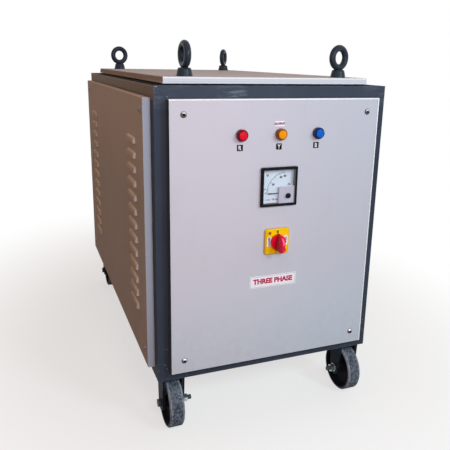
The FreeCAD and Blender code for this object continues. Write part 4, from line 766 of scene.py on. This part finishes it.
# %% Finishes by slot
finishes = {
    "panel_paint": panel_powder_coat(),
    "frame_paint": frame_enamel(),
    "eye_paint": forging_enamel("eye_enamel", "1a212b", "2f3946", 0.3, 0.45),
    "castor_paint": forging_enamel("castor_enamel", "10141d", "1f2633", 0.5, 0.4, 0.05),
    "wheel_iron": worn_wheel(),
    "screw_steel": screw_plating(),
    "axle_steel": forging_enamel("axle_enamel", "2c333c", "4d5661", 0.4, 0.5),
    "zinc_plate": metal("bright_zinc", "8fa0aa", "dfe7ea", 0.22, 260),
    "spindle_steel": metal("turned_steel", "7d7f82", "c9cbcc", 0.25, 120, (1, 1, 12)),
    "galvanised_sheet": galvanised_sheet(),
    "lamp_bezel_plastic": lamp_rings(),
    "meter_black": plastic("meter_case_black", "08090f", "0f1118", 0.5, 900, 0.0001, 0.1, "2b2b32", 0.3),
    "meter_glass": meter_glass(),
    "dial_white": dial_enamel(),
    "cover_white": plastic("hub_cover_white", "d3d3e6", "dddeec", 0.32, 300, 0.00005, 0.2, "6c6a86", 0.7),
    "pointer_black": plastic("pointer_enamel", "050508", "0c0d12", 0.6, 400, 0.00004, 0.1, "1a1a20", 0.2),
    "switch_yellow": plastic("switch_yellow", "f8bc00", "ffd200", 0.3, 420, 0.00008, 0.12, "6a4f00", 0.8),
    "switch_red": knob_plastic(),
    "switch_black": plastic("contact_block_black", "0d0d0f", "1a1a1d", 0.45, 500, 0.0002, 0.2),
    "label_sheet": label_sheet(),
    "end_frame_iron": forging_enamel("end_frame_paint", "3f4a4c", "566264", 0.5, 0.35),
    "bearing_bronze": metal("bearing_bronze", "6f4a20", "b08340", 0.3, 160),
    "laminate_board": laminate_board(),
    "core_steel": core_strip(),
    "winding_copper": copper_winding(),
    "spacer_tube": metal("spacer_tube", "8a8d90", "b9bcbe", 0.34, 90, (1, 1, 8)),
    "arm_aluminium": metal("cast_aluminium", "8f9193", "c6c8ca", 0.4, 220, depth=0.0005),
    "brush_carbon": plastic("brush_carbon", "101011", "242426", 0.55, 900, 0.0003),
    "collector_brass": metal("collector_brass", "8e6a26", "d3ad5c", 0.25, 110, (1, 1, 10)),
    "gear_iron": metal("gear_iron", "4c4e50", "85888a", 0.35, 130, tarnish="120d06"),
    "bracket_steel": metal("bracket_steel", "6b6e72", "9a9da0", 0.38, 100, (1, 6, 1)),
    "motor_paint": forging_enamel("motor_enamel", "23303c", "38495a", 0.4, 0.3),
    "gland_brass": metal("gland_nickel", "8f8c84", "cfccc3", 0.26, 200),
}
for name, place, tints in zip(LAMP_NAMES, LAMP_PLACES, LAMP_TINTS):
    finishes[name + "_lens"] = lamp_lens(name + "_lens_plastic", place, tints)

for part in frame["record"]["subparts"]:
    holder = nodes[part["node"]].data.materials
    for index in range(len(holder)):
        holder[index] = finishes[part["material_slot"]].material
print("finishes:", len(finishes), "on", len(nodes), "nodes")

# %% [markdown]
# ## Modelling by operators
# The pieces below are modelled as by hand, but a script can't click, so small helpers stand for the
# hand. `block` and `disc` add a primitive, `pick` selects what passes a test, and `inset`, `modify`
# and `soften` shape it. `mount` gives it its finish and the body that it rides on, and prints how
# many faces it has.

# %% Helpers that add and pick
SELECT_MODES = {"faces": "FACE", "edges": "EDGE", "verts": "VERT"}
QUARTER_TURN = math.pi / 2


def place(primitive, name, **sizes):
    """Adds a primitive, alone in the selection, with its place in its mesh."""
    bpy.ops.object.select_all(action="DESELECT")
    primitive(**sizes)
    piece = bpy.context.object
    piece.name = piece.data.name = name
    bpy.ops.object.transform_apply(location=True, rotation=True, scale=True)
    return piece


def block(name, middle, size, turn=0.0):
    """A box about its middle, turned in the plane of the front."""
    turned = {"size": 1, "rotation": (0, turn, 0), "scale": size}
    return place(bpy.ops.mesh.primitive_cube_add, name, location=middle, **turned)


def disc(name, middle, radius, depth, sides):
    """A cylinder about its middle, with one end to the front."""
    lying = {"vertices": sides, "radius": radius, "depth": depth, "rotation": (QUARTER_TURN, 0, 0)}
    return place(bpy.ops.mesh.primitive_cylinder_add, name, location=middle, **lying)


def pick(kind, test):
    """In edit mode, selects the faces, edges or verts that pass a test, and nothing else."""
    bpy.ops.object.mode_set(mode="EDIT")
    bpy.ops.mesh.select_mode(type=SELECT_MODES[kind])
    bpy.ops.mesh.select_all(action="DESELECT")
    mesh = bmesh.from_edit_mesh(bpy.context.object.data)
    for element in getattr(mesh, kind):
        if test(element):
            element.select_set(True)
    bmesh.update_edit_mesh(bpy.context.object.data)


def faces_front(face):
    return face.normal.y < -0.9


def runs_back(edge):
    """Whether an edge runs straight back, along Y."""
    first, second = (corner.co for corner in edge.verts)
    return abs((first - second).normalized().y) > 0.99


# %% Helpers that shape and mount
SOFT_EDGE = 0.0003


def inset(*steps):
    """Insets the picked faces, once for each pair of a width and a rise."""
    for width, rise in steps:
        bpy.ops.mesh.inset(thickness=width, depth=rise)


def bevel(width, segments, **settings):
    """Rounds the picked edges."""
    bpy.ops.mesh.bevel(offset=width, segments=segments, affect="EDGES", **settings)


def modify(piece, kind, **settings):
    """Adds a modifier, sets it and applies it."""
    bpy.ops.object.mode_set(mode="OBJECT")
    modifier = piece.modifiers.new(kind.lower(), kind)
    for name, value in settings.items():
        setattr(modifier, name, value)
    bpy.ops.object.modifier_apply(modifier=modifier.name)


def soften(piece, width=SOFT_EDGE, segments=2, angle=40):
    """Rounds the sharp edges and smooths the shading."""
    sharp = math.radians(angle)
    modify(piece, "BEVEL", width=width, segments=segments, angle_limit=sharp)
    bpy.ops.object.shade_smooth_by_angle(angle=sharp)


def mount(piece, slot, finish=None, body="cabinet"):
    """Gives a piece its finish, found by its slot unless one is given, and the body that it rides on."""
    piece.data.materials.clear()
    piece.data.materials.append((finish or finishes[slot]).material)
    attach(piece, body)
    print(piece.name, "faces:", len(piece.data.polygons))
    return piece


def merge(pieces, name):
    """Joins pieces into one mesh."""
    bpy.ops.object.select_all(action="DESELECT")
    for piece in pieces:
        piece.select_set(True)
    bpy.context.view_layer.objects.active = pieces[0]
    bpy.ops.object.join()
    joined = bpy.context.object
    joined.name = joined.data.name = name
    return joined


def copied(piece, name, offset):
    """A copy with its own mesh, moved by an offset."""
    twin = piece.copy()
    twin.data = piece.data.copy()
    twin.name = twin.data.name = name
    twin.data.transform(Matrix.Translation(offset))
    bpy.context.scene.collection.objects.link(twin)
    return twin


print("modelling helpers ready")

# %% [markdown]
# ## The switch's knob
# A rotary switch of this kind has a round skirt with an upright grip: a pointed nose above, a
# rounded heel below, and a face that falls away towards the nose. The skirt is a cylinder whose face
# is inset into a shallow dish. The grip is a block, cut across once, so that only its upper part
# narrows to the nose. A boolean makes one moulding of the two.

# %% Knob skirt
SKIRT_RADIUS = 0.019
DISH_RIM = 0.0022
DISH_DEPTH = 0.0012

skirt_middle = (KNOB_CENTRE.x, KNOB_HIGH.y - SKIRT_DEPTH / 2, KNOB_CENTRE.z)
skirt = disc("knob_skirt", skirt_middle, SKIRT_RADIUS, SKIRT_DEPTH, 72)
pick("faces", faces_front)
inset((DISH_RIM, 0), (DISH_RIM, -DISH_DEPTH))
bpy.ops.object.mode_set(mode="OBJECT")
print("skirt faces:", len(skirt.data.polygons))

# %% Knob grip
GRIP_WIDTH = 0.0185
GRIP_NOSE_WIDTH = 0.003
GRIP_NOSE_DROP = 0.015
GRIP_HEEL_RADIUS = 0.0088
GRIP_SHOULDER = 0.005
GRIP_CROWN = 0.0062
GRIP_LEAN = -0.3
SLACK = 0.0002


def on_nose(corner):
    return corner.co.z > KNOB_HIGH.z - SLACK


def rims_the_face(edge):
    """Whether an edge parts the face of the grip from its flanks."""
    leans = [face.normal.y for face in edge.link_faces]
    forward = all(corner.co.y < KNOB_LOW.y + GRIP_NOSE_DROP + SLACK for corner in edge.verts)
    return forward and max(leans) > GRIP_LEAN > min(leans)


grip_depth = KNOB_HIGH.y - KNOB_LOW.y - SKIRT_DEPTH / 3
grip_middle = (KNOB_CENTRE.x, KNOB_LOW.y + grip_depth / 2, KNOB_CENTRE.z)
grip = block("rotary_knob", grip_middle, (GRIP_WIDTH, grip_depth, KNOB_HIGH.z - KNOB_LOW.z))
bpy.ops.object.mode_set(mode="EDIT")
bpy.ops.mesh.select_all(action="SELECT")
bpy.ops.mesh.bisect(plane_co=KNOB_CENTRE + Vector((0, 0, GRIP_SHOULDER)), plane_no=(0, 0, 1))
pick("verts", on_nose)
bpy.ops.transform.resize(value=(GRIP_NOSE_WIDTH / GRIP_WIDTH, 1, 1), center_override=KNOB_CENTRE)
pick("verts", lambda corner: on_nose(corner) and corner.co.y < KNOB_LOW.y + SLACK)
bpy.ops.transform.translate(value=(0, GRIP_NOSE_DROP, 0))
pick("edges", lambda edge: runs_back(edge) and edge.verts[0].co.z < KNOB_LOW.z + SLACK)
bevel(GRIP_HEEL_RADIUS, 8)
pick("edges", rims_the_face)
bevel(GRIP_CROWN, 5, clamp_overlap=True)

# %% Knob in one piece
KNOB_EDGE = 0.0007

modify(grip, "BOOLEAN", operation="UNION", solver="EXACT", object=skirt)
bpy.data.objects.remove(skirt)
soften(grip, KNOB_EDGE, 3, 35)
mount(grip, "switch_red", body="raise_lower_switch")
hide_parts("switch_knob")

# %% [markdown]
# ## The switch's plate
# The yellow plate is a shallow moulding with rounded corners, a rim that slopes up all round, and a
# fine groove about its field. A block, as thick as the plate's edge, has its four corners rounded.
# Insets of its front face then make the slope, the border, and the groove and its floor.

# %% Switch plate
PLATE_LOW, PLATE_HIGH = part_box("switch_plate")
PLATE_CENTRE = (PLATE_LOW + PLATE_HIGH) / 2
PLATE_CORNER = 0.0055
PLATE_EDGE = 0.00012
PLATE_SLOPE = 0.0024
GROOVE = 0.0006
PLATE_INSETS = ((0.0026, PLATE_SLOPE), (0.0007, 0), (0.0003, -GROOVE), (0.0005, 0), (0.0003, GROOVE))

plate_size = PLATE_HIGH - PLATE_LOW - Vector((0, PLATE_SLOPE, 0))
plate = block("switch_escutcheon", PLATE_CENTRE + Vector((0, PLATE_SLOPE / 2, 0)), plate_size)
pick("edges", runs_back)
bevel(PLATE_CORNER, 6)
pick("faces", faces_front)
inset(*PLATE_INSETS)
soften(plate, PLATE_EDGE, 2, 30)
mount(plate, "switch_yellow")
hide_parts("switch_plate")
plate_face = Vector((PLATE_CENTRE.x, PLATE_LOW.y, PLATE_CENTRE.z))

# %% [markdown]
# Two small screws hold the plate, at its upper left and lower right. Each is a low cylinder with a
# rounded crown and a slot sunk into it.

# %% Plate screws
PLATE_SCREW_OFFSET = Vector((-0.0215, 0, 0.0235))
PLATE_SCREW_RADIUS = 0.0036
PLATE_SCREW_HEIGHT = 0.0011
HALF_SLOT = PLATE_SCREW_RADIUS * 0.3
SLOT_DEPTH = PLATE_SCREW_HEIGHT * 0.8

plate_brass = metal("plate_screw_brass", "6b3c10", "a0651d", 0.35, 500, tarnish="2a1404")
for side, name in ((1, "switch_plate_screw_upper"), (-1, "switch_plate_screw_lower")):
    centre = plate_face + PLATE_SCREW_OFFSET * side
    screw = disc(name, centre, PLATE_SCREW_RADIUS, 2 * PLATE_SCREW_HEIGHT, 32)
    bpy.ops.object.mode_set(mode="EDIT")
    for edge_z in (-HALF_SLOT, HALF_SLOT):
        bpy.ops.mesh.select_all(action="SELECT")
        bpy.ops.mesh.bisect(plane_co=centre + Vector((0, 0, edge_z)), plane_no=(0, 0, 1))
    level = centre.z
    pick("faces", lambda face: faces_front(face) and abs(face.calc_center_median().z - level) < HALF_SLOT)
    bpy.ops.mesh.extrude_region_move(TRANSFORM_OT_translate={"value": (0, SLOT_DEPTH, 0)})
    soften(screw)
    mount(screw, "screw_steel", plate_brass)

# %% [markdown]
# ## Legends
# Beside the knob two white tabs say what each turn does. A tab is a thin block with rounded corners
# and a sunk face. Lettering is a text object, turned into a mesh before it is stood upright, since a
# mesh keeps its place once its object is back at the origin.

# %% Lettering helper
PRINT_THICKNESS = 0.00012
CAPITAL_SHARE = 0.7


def lettering(name, words, height, middle, bold, finish, slot="label_sheet", turn=0.0, width=1.0):
    """Flat raised print that faces the front, centred on a place, turned in its own plane."""
    bpy.ops.object.select_all(action="DESELECT")
    bpy.ops.object.text_add()
    text = bpy.context.object.data
    text.body = words
    text.align_x = text.align_y = "CENTER"
    text.size = height / CAPITAL_SHARE
    text.offset = bold
    text.extrude = PRINT_THICKNESS
    text.resolution_u = 4
    bpy.ops.object.convert(target="MESH")
    letters = bpy.context.object
    letters.name = letters.data.name = name
    off_centre = (Vector(letters.bound_box[0]) + Vector(letters.bound_box[6])) / 2
    upright = Matrix.Rotation(QUARTER_TURN, 4, "X") @ Matrix.Rotation(turn, 4, "Z")
    upright = upright @ Matrix.Scale(width, 4, (1, 0, 0))
    letters.data.transform(Matrix.Translation(middle) @ upright @ Matrix.Translation(-off_centre))
    letters.matrix_world = Matrix.Identity(4)
    return mount(letters, slot, finish)


# %% Inks
INK_TONES = {
    "black": ("050508", "17171d"),
    "white": ("fcfdff", "e6e8ec"),
    "violet": ("4a2f6a", "6a4f86"),
    "crimson": ("c01a44", "d24a6a"),
    "plum": ("7c2464", "943e7c"),
    "maroon": ("bc0048", "c82a62"),
    "grey": ("4a4d5a", "6c6f7c"),
}


def ink(name, dark, pale):
    """Screen-printed ink: matt, a little uneven, thinner where it is worn."""
    coat = Finish(name + "_ink")
    wear = coat.noise(900, 4, 0.65).step(0.55, 0.8)
    coat.base(wear * 0.6 + coat.noise(200, 3) * 0.2, dark, pale)
    return coat.close(0.5 + wear * 0.2, wear, 0.00005, 0.3, gloss=0.1)


inks = {name: ink(name, *tones) for name, tones in INK_TONES.items()}
print("inks:", len(inks))

# %% Switch legends
TAB_SIZE = Vector((0.0115, 0.0012, 0.0245))
TAB_PROUD = 0.00025
TAB_CORNER = 0.0012
TAB_DISH = (0.0005, -0.00015)
TABS = ((-0.0225, 0.0015, "LOWER", "violet"), (0.0225, 0.0025, "RAISE", "crimson"))
ZERO_RISE = 0.0252

tab_finish = plastic("legend_tab_white", "efe6ee", "fbf6fa", 0.4, 500, 0.00005, 0.1, "9a8a90", 0.4)
for across, up, words, ink_name in TABS:
    tab_face = plate_face + Vector((across, -TAB_PROUD, up))
    tab = block("legend_tab_" + words.lower(), tab_face + Vector((0, TAB_SIZE.y / 2, 0)), TAB_SIZE)
    pick("edges", runs_back)
    bevel(TAB_CORNER, 3)
    pick("faces", faces_front)
    inset(TAB_DISH)
    soften(tab, 0.0002)
    mount(tab, "label_sheet", tab_finish)
    name = "legend_" + words.lower()
    lettering(name, words, 0.0046, tab_face, 0.00022, inks[ink_name], turn=QUARTER_TURN)
zero_at = plate_face + Vector((0, 0, ZERO_RISE))
lettering("switch_zero_mark", "0", 0.0062, zero_at, 0.0006, inks["black"], "switch_black")

# %% [markdown]
# ## Letters and the plates
# Each lamp has its phase's letter under it, R, Y and B, in white on black. The strip above the
# middle lamp says OUTPUT, and the wide plate names the kind of machine.

# %% Phase letters
LETTER_HEIGHT = 0.0102
LETTER_WIDTH = 0.85
LABEL_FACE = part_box("label_plates")[0].y - PRINT_THICKNESS / 2
LETTER_DROP = 0.0295
LETTER_SHIFT = -0.003

for letter, lamp_at in zip("RYB", LAMP_PLACES):
    spot = (lamp_at.x + LETTER_SHIFT, LABEL_FACE, lamp_at.z - LETTER_DROP)
    name = "phase_letter_" + letter.lower()
    lettering(name, letter, LETTER_HEIGHT, spot, 0.0002, inks["white"], width=LETTER_WIDTH)

# %% Caption and name of the machine
CAPTION_RISE = 0.0245
CAPTION_HEIGHT = 0.0046
NAME_PLACE = Vector((-0.005, LABEL_FACE, 0.389))
NAME_RISE = Vector((0, 0, 0.0012))
NAME_HEIGHT = 0.0125
NAME_SIZE = Vector((0.1285, 0, 0.032))
BORDER_INSET = 0.002
BORDER_WIDTH = 0.0005

caption_at = (LAMP_PLACES[1].x + LETTER_SHIFT, LABEL_FACE, LAMP_PLACES[1].z + CAPTION_RISE)
lettering("caption_output", "OUTPUT", CAPTION_HEIGHT, caption_at, 0.0005, inks["plum"])
name_at = NAME_PLACE + NAME_RISE
lettering("name_three_phase", "THREE PHASE", NAME_HEIGHT, name_at, 0.0009, inks["maroon"])

upright_plane = {"size": 1, "rotation": (QUARTER_TURN, 0, 0), "location": NAME_PLACE}
border = place(bpy.ops.mesh.primitive_plane_add, "name_border", **upright_plane)
pick("faces", lambda face: True)
border_size = (NAME_SIZE.x - 2 * BORDER_INSET, 1, NAME_SIZE.z - 2 * BORDER_INSET)
bpy.ops.transform.resize(value=border_size, center_override=NAME_PLACE)
bpy.ops.mesh.inset(thickness=BORDER_WIDTH)
bpy.ops.mesh.delete(type="FACE")
modify(border, "SOLIDIFY", thickness=PRINT_THICKNESS)
mount(border, "label_sheet", inks["black"])

# %% [markdown]
# ## The voltmeter's scale
# The pointer turns about a pivot low on the right, so the scale is a quarter circle about it. A
# moving-iron meter is crowded at its low end and opens out above, so its marks don't have even
# steps. The arc is a thin block spun about the pivot. Each tick is a sliver set out along its own
# radius. The tick of 100 V, where the scale is crowded, is thinner than the other main ticks.

# %% Dial arc and ticks
DIAL_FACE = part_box("meter_dial")[0].y - PRINT_THICKNESS / 2
DIAL_CENTRE = Vector((0.024, DIAL_FACE, 0.6150))
ARC_RADIUS = 0.0525
ARC_LINE = 0.0004
ARC_STEPS = 40
TICK = 0.0048
MINOR_TICK = 0.0024
MAIN_ANGLES = {0: 1.5, 100: 11.0, 200: 31.7, 300: 51.0, 400: 68.0, 500: 83.0}
MAIN_WIDTHS = (2.6, 1.5, 2.6, 2.6, 2.6, 2.6)
MINOR_STEPS = 5


def on_dial(radius, degrees):
    """A place on the dial: 0 degrees points left, where the pointer rests, and 90 points up."""
    angle = math.radians(degrees)
    return DIAL_CENTRE + Vector((-radius * math.cos(angle), 0, radius * math.sin(angle)))


def tick(length, width, degrees):
    """A sliver of ink that ends on the arc and points at the pivot."""
    size = (length, PRINT_THICKNESS, width)
    return block("dial_tick", on_dial(ARC_RADIUS - length / 2, degrees), size, math.radians(degrees))


marks = list(MAIN_ANGLES.values())
ticks = [tick(TICK, ARC_LINE * width, degrees) for width, degrees in zip(MAIN_WIDTHS, marks)]
for start, end in zip(marks, marks[1:]):
    for step in range(1, MINOR_STEPS):
        ticks.append(tick(MINOR_TICK, ARC_LINE, start + (end - start) * step / MINOR_STEPS))
mount(merge(ticks, "dial_ticks"), "pointer_black", inks["black"])

arc_size = (ARC_LINE * 2, PRINT_THICKNESS, ARC_LINE)
arc = block("dial_arc", on_dial(ARC_RADIUS, marks[0]), arc_size, math.radians(marks[0]))
pick("faces", lambda face: face.normal.z > 0.9)
sweep = math.radians(marks[-1] - marks[0])
bpy.ops.mesh.spin(steps=ARC_STEPS, angle=sweep, center=DIAL_CENTRE, axis=(0, -1, 0))
bpy.ops.mesh.select_all(action="SELECT")
bpy.ops.mesh.remove_doubles(threshold=ARC_LINE / 50)
bpy.ops.mesh.normals_make_consistent(inside=False)
bpy.ops.object.mode_set(mode="OBJECT")
mount(arc, "pointer_black", inks["grey"])
print("dial marks:", len(ticks))

# %% Dial prints
NUMERAL_RADIUS = 0.0423
NUMERAL_WIDTH = 0.72
DIAL_PRINTS = (
    ("dial_numeral_0", "0", 0.0036, (-0.0318, 0.6165), 0.0003),
    ("dial_numeral_100", "100", 0.0026, (-0.0335, 0.6262), 0.0001),
    ("dial_unit", "V", 0.0062, (-0.0275, 0.6602), 0.0005),
    ("dial_kind", "AC", 0.0038, (0.0312, 0.6360), 0.0003),
    ("dial_class", "CL 1.5", 0.0038, (-0.0060, 0.6000), 0.0003),
    ("dial_range", "0 - 500 V", 0.0024, (-0.0245, 0.5990), 0.0001),
)

dial_ink = inks["black"], "pointer_black"
for volts in (200, 400, 500):
    name = "dial_numeral_" + str(volts)
    spot = on_dial(NUMERAL_RADIUS, MAIN_ANGLES[volts])
    lettering(name, str(volts), 0.0046, spot, 0.00035, *dial_ink, width=NUMERAL_WIDTH)
for name, words, height, (x, z), bold in DIAL_PRINTS:
    lettering(name, words, height, (x, DIAL_FACE, z), bold, *dial_ink)

# %% [markdown]
# The pointer is a stamped blade on a hub. The blade is cranked, so that it stands a little above the
# middle of its hub, and it widens to a blunt end that reads well from a distance. A disc makes the
# hub and a block makes the blade, with its free end drawn out in height.

# %% Pointer
POINTER_LOW, POINTER_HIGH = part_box("meter_pointer")
PIVOT_Y, PIVOT_Z = (POINTER_LOW.y + POINTER_HIGH.y) / 2, (POINTER_LOW.z + POINTER_HIGH.z) / 2
PIVOT = Vector((DIAL_CENTRE.x, PIVOT_Y, PIVOT_Z))
HUB_RADIUS = 0.004
HUB_DISH = (0.0012, -0.0004)
BLADE_THICKNESS = 0.0009
BLADE_HEIGHT = 0.0024
BLADE_TIP = Vector((-0.0252, PIVOT.y, DIAL_CENTRE.z))
BLADE_FLARE = 1.35

hub = disc("pointer_hub", PIVOT, HUB_RADIUS, POINTER_HIGH.y - POINTER_LOW.y, 40)
pick("faces", faces_front)
inset(HUB_DISH)
soften(hub)
crank_size = Vector((BLADE_HEIGHT, BLADE_THICKNESS, DIAL_CENTRE.z - PIVOT.z + BLADE_HEIGHT))
crank = block("pointer_crank", PIVOT + Vector((0, 0, crank_size.z / 2 - BLADE_HEIGHT / 2)), crank_size)
soften(crank)
blade_length = PIVOT.x - BLADE_TIP.x
blade_middle = (PIVOT.x - blade_length / 2, PIVOT.y, DIAL_CENTRE.z)
blade = block("pointer_blade", blade_middle, (blade_length, BLADE_THICKNESS, BLADE_HEIGHT))
pick("faces", lambda face: face.normal.x < -0.9)
bpy.ops.transform.resize(value=(1, 1, BLADE_FLARE), center_override=BLADE_TIP)
soften(blade, 0.00025)
pointer = mount(merge([hub, crank, blade], "pointer_arm"), "pointer_black", body="voltmeter_pointer")
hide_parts("meter_pointer")

# %% [markdown]
# ## Lamp lenses
# A pilot lamp's lens is a flat-faced cap with a raised ring inside a narrow groove, and a very
# slightly crowned middle. All are insets of a cylinder's face, each with a step up or down. One lens
# is modelled and copied for the other two lamps.

# %% Lamp caps
LENS_LOW, LENS_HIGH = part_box("red_lamp_lens")
LENS_GROOVE = ((0.0009, 0), (0.0004, -0.0007), (0.0005, 0))
LENS_RING = ((0.0006, 0.0009), (0.0012, 0), (0.003, 0.0004), (0.003, 0.0002))
LENS_CROWN = 0.0008

lens_back, lens_front = LENS_HIGH.y, LENS_LOW.y + LENS_CROWN
lens_middle = (LAMP_PLACES[0].x, (lens_back + lens_front) / 2, LAMP_PLACES[0].z)
first_cap = disc("red_lamp_cap", lens_middle, (LENS_HIGH.x - LENS_LOW.x) / 2, lens_back - lens_front, 64)
pick("faces", faces_front)
inset(*LENS_GROOVE, *LENS_RING)
soften(first_cap)
caps = {"red": first_cap}
for lamp_name, spot in zip(LAMP_NAMES[1:], LAMP_PLACES[1:]):
    caps[lamp_name] = copied(first_cap, lamp_name + "_lamp_cap", spot - LAMP_PLACES[0])
for lamp_name, cap in caps.items():
    mount(cap, lamp_name + "_lens")
    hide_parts(lamp_name + "_lamp_lens")

# %% [markdown]
# ## Folded sheet edges
# The cover's edge is folded back on itself, which leaves a thicker band along its foot. The front
# panel's edges are rolled over into a narrow lip, with a painted highlight along its top and its
# right and painted shade on its left. Both start as a block of the sheet's outline that loses its
# open sides, so that a belt is left. A solidify modifier then gives the belt its sheet thickness
# outwards.

# %% Cover hem
HEM_HEIGHT = 0.0042
HEM_THICKNESS = 0.0009
SHEET_EDGE = 0.0004


def thicken(belt, thickness):
    """Turns a belt of bare faces into folded sheet."""
    modify(belt, "SOLIDIFY", thickness=thickness, offset=1.0, use_even_offset=True)
    soften(belt, SHEET_EDGE, 3, 30)


hem_middle = (COVER_LOW + COVER_HIGH) / 2
hem_middle.z = COVER_LOW.z + HEM_HEIGHT / 2
hem = block("cover_hem", hem_middle, (COVER_HIGH.x - COVER_LOW.x, COVER_HIGH.y - COVER_LOW.y, HEM_HEIGHT))
pick("faces", lambda face: abs(face.normal.z) > 0.9)
bpy.ops.mesh.delete(type="ONLY_FACE")
thicken(hem, HEM_THICKNESS)
mount(hem, "panel_paint")

# %% Front panel lip
LIP_WIDTH = 0.0028
LIP_DEPTH = 0.0022
LIP_THICKNESS = 0.0005


def lip_paint():
    coat = Finish("rolled_lip_paint")
    x, _, z = coat.axes()
    rightward, _, _ = coat.axes(coat.facing)
    rolled = (x - PANEL_HIGH.x).step(-0.004, -0.003) + (z - PANEL_HIGH.z).step(-0.004, -0.003)
    worn = coat.noise(90, 5, 0.6).step(0.35, 0.6)
    coat.mottled(*FILM, 2.1, 3)
    # Painted highlight along the rolled top and right.
    coat.lay(rolled * (0.75 + worn * 0.25), "fcfdff")
    # Painted shade on the faces that turn to the left.
    coat.lay(rightward.step(-0.3, -0.8) * 0.85, SHADED_EDGE)
    return coat.close(0.5 + worn * 0.15, worn, 0.0001, 0.3, gloss=0.1)


lip_y = PANEL_LOW.y + LIP_DEPTH / 2
lip_middle = ((PANEL_LOW.x + PANEL_HIGH.x) / 2, lip_y, (PANEL_LOW.z + PANEL_HIGH.z) / 2)
lip_size = (PANEL_HIGH.x - PANEL_LOW.x, LIP_DEPTH, PANEL_HIGH.z - PANEL_LOW.z)
lip = block("front_panel_lip", lip_middle, lip_size)
pick("faces", faces_front)
inset((LIP_WIDTH, 0))
bpy.ops.mesh.delete(type="FACE")
pick("faces", lambda face: face.normal.y > 0.9)
bpy.ops.mesh.delete(type="FACE")
thicken(lip, LIP_THICKNESS)
mount(lip, "panel_paint", lip_paint())

# %% [markdown]
# ## Weld beads
# The fork plates are welded to the frame's underside. A weld is a row of overlapping scales, so one
# flattened ball is copied along the seam every few millimetres, with a small seeded jitter.

# %% Weld beads under the frame
BEAD_RADIUS = 0.0036
BEAD_STEP = 0.0036
BEAD_FLATNESS = 0.75
JITTER = BEAD_STEP * 0.12
JITTER_TURNS = (12.9, 78.2)
SEAM_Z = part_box("castor_forks")[1].z - BEAD_RADIUS * 0.3
FORK_HALF = Vector((0.029, 0.025))
SEAM_INSET = 0.0005

weld_finish = forging_enamel("weld_enamel", "171d26", "333d4a", 0.38, 0.35)


def weld_bead(name, start, end, seed):
    """A row of scales between two places."""
    count = max(2, int((end - start).length / BEAD_STEP))
    scale = place(bpy.ops.mesh.primitive_ico_sphere_add, name, subdivisions=1, radius=BEAD_RADIUS)
    pick("verts", lambda corner: True)
    bpy.ops.transform.resize(value=(1, 1, BEAD_FLATNESS))
    bpy.ops.object.mode_set(mode="OBJECT")
    bpy.ops.object.shade_smooth()
    scales = []
    for index in range(count):
        jitter = math.sin(seed * JITTER_TURNS[0] + index * JITTER_TURNS[1]) * JITTER
        spot = start.lerp(end, (index + 0.5) / count) + Vector((jitter, jitter, 0))
        scales.append(copied(scale, name + "_scale", spot))
    bpy.data.objects.remove(scale)
    return mount(merge(scales, name), "castor_paint", weld_finish)


beads = 0
reach_x, reach_y = FORK_HALF.x + SEAM_INSET, FORK_HALF.y + SEAM_INSET
for corner in ("front_left", "front_right", "rear_left", "rear_right"):
    middle = middle_of(corner + "_wheel")
    for side, side_name in ((-1, "front"), (1, "rear")):
        start = Vector((middle.x - reach_x, middle.y + side * reach_y, SEAM_Z))
        end = Vector((middle.x + reach_x, start.y, SEAM_Z))
        weld_bead("weld_" + corner + "_fork_" + side_name, start, end, beads)
        beads += 1
print("weld beads:", beads)
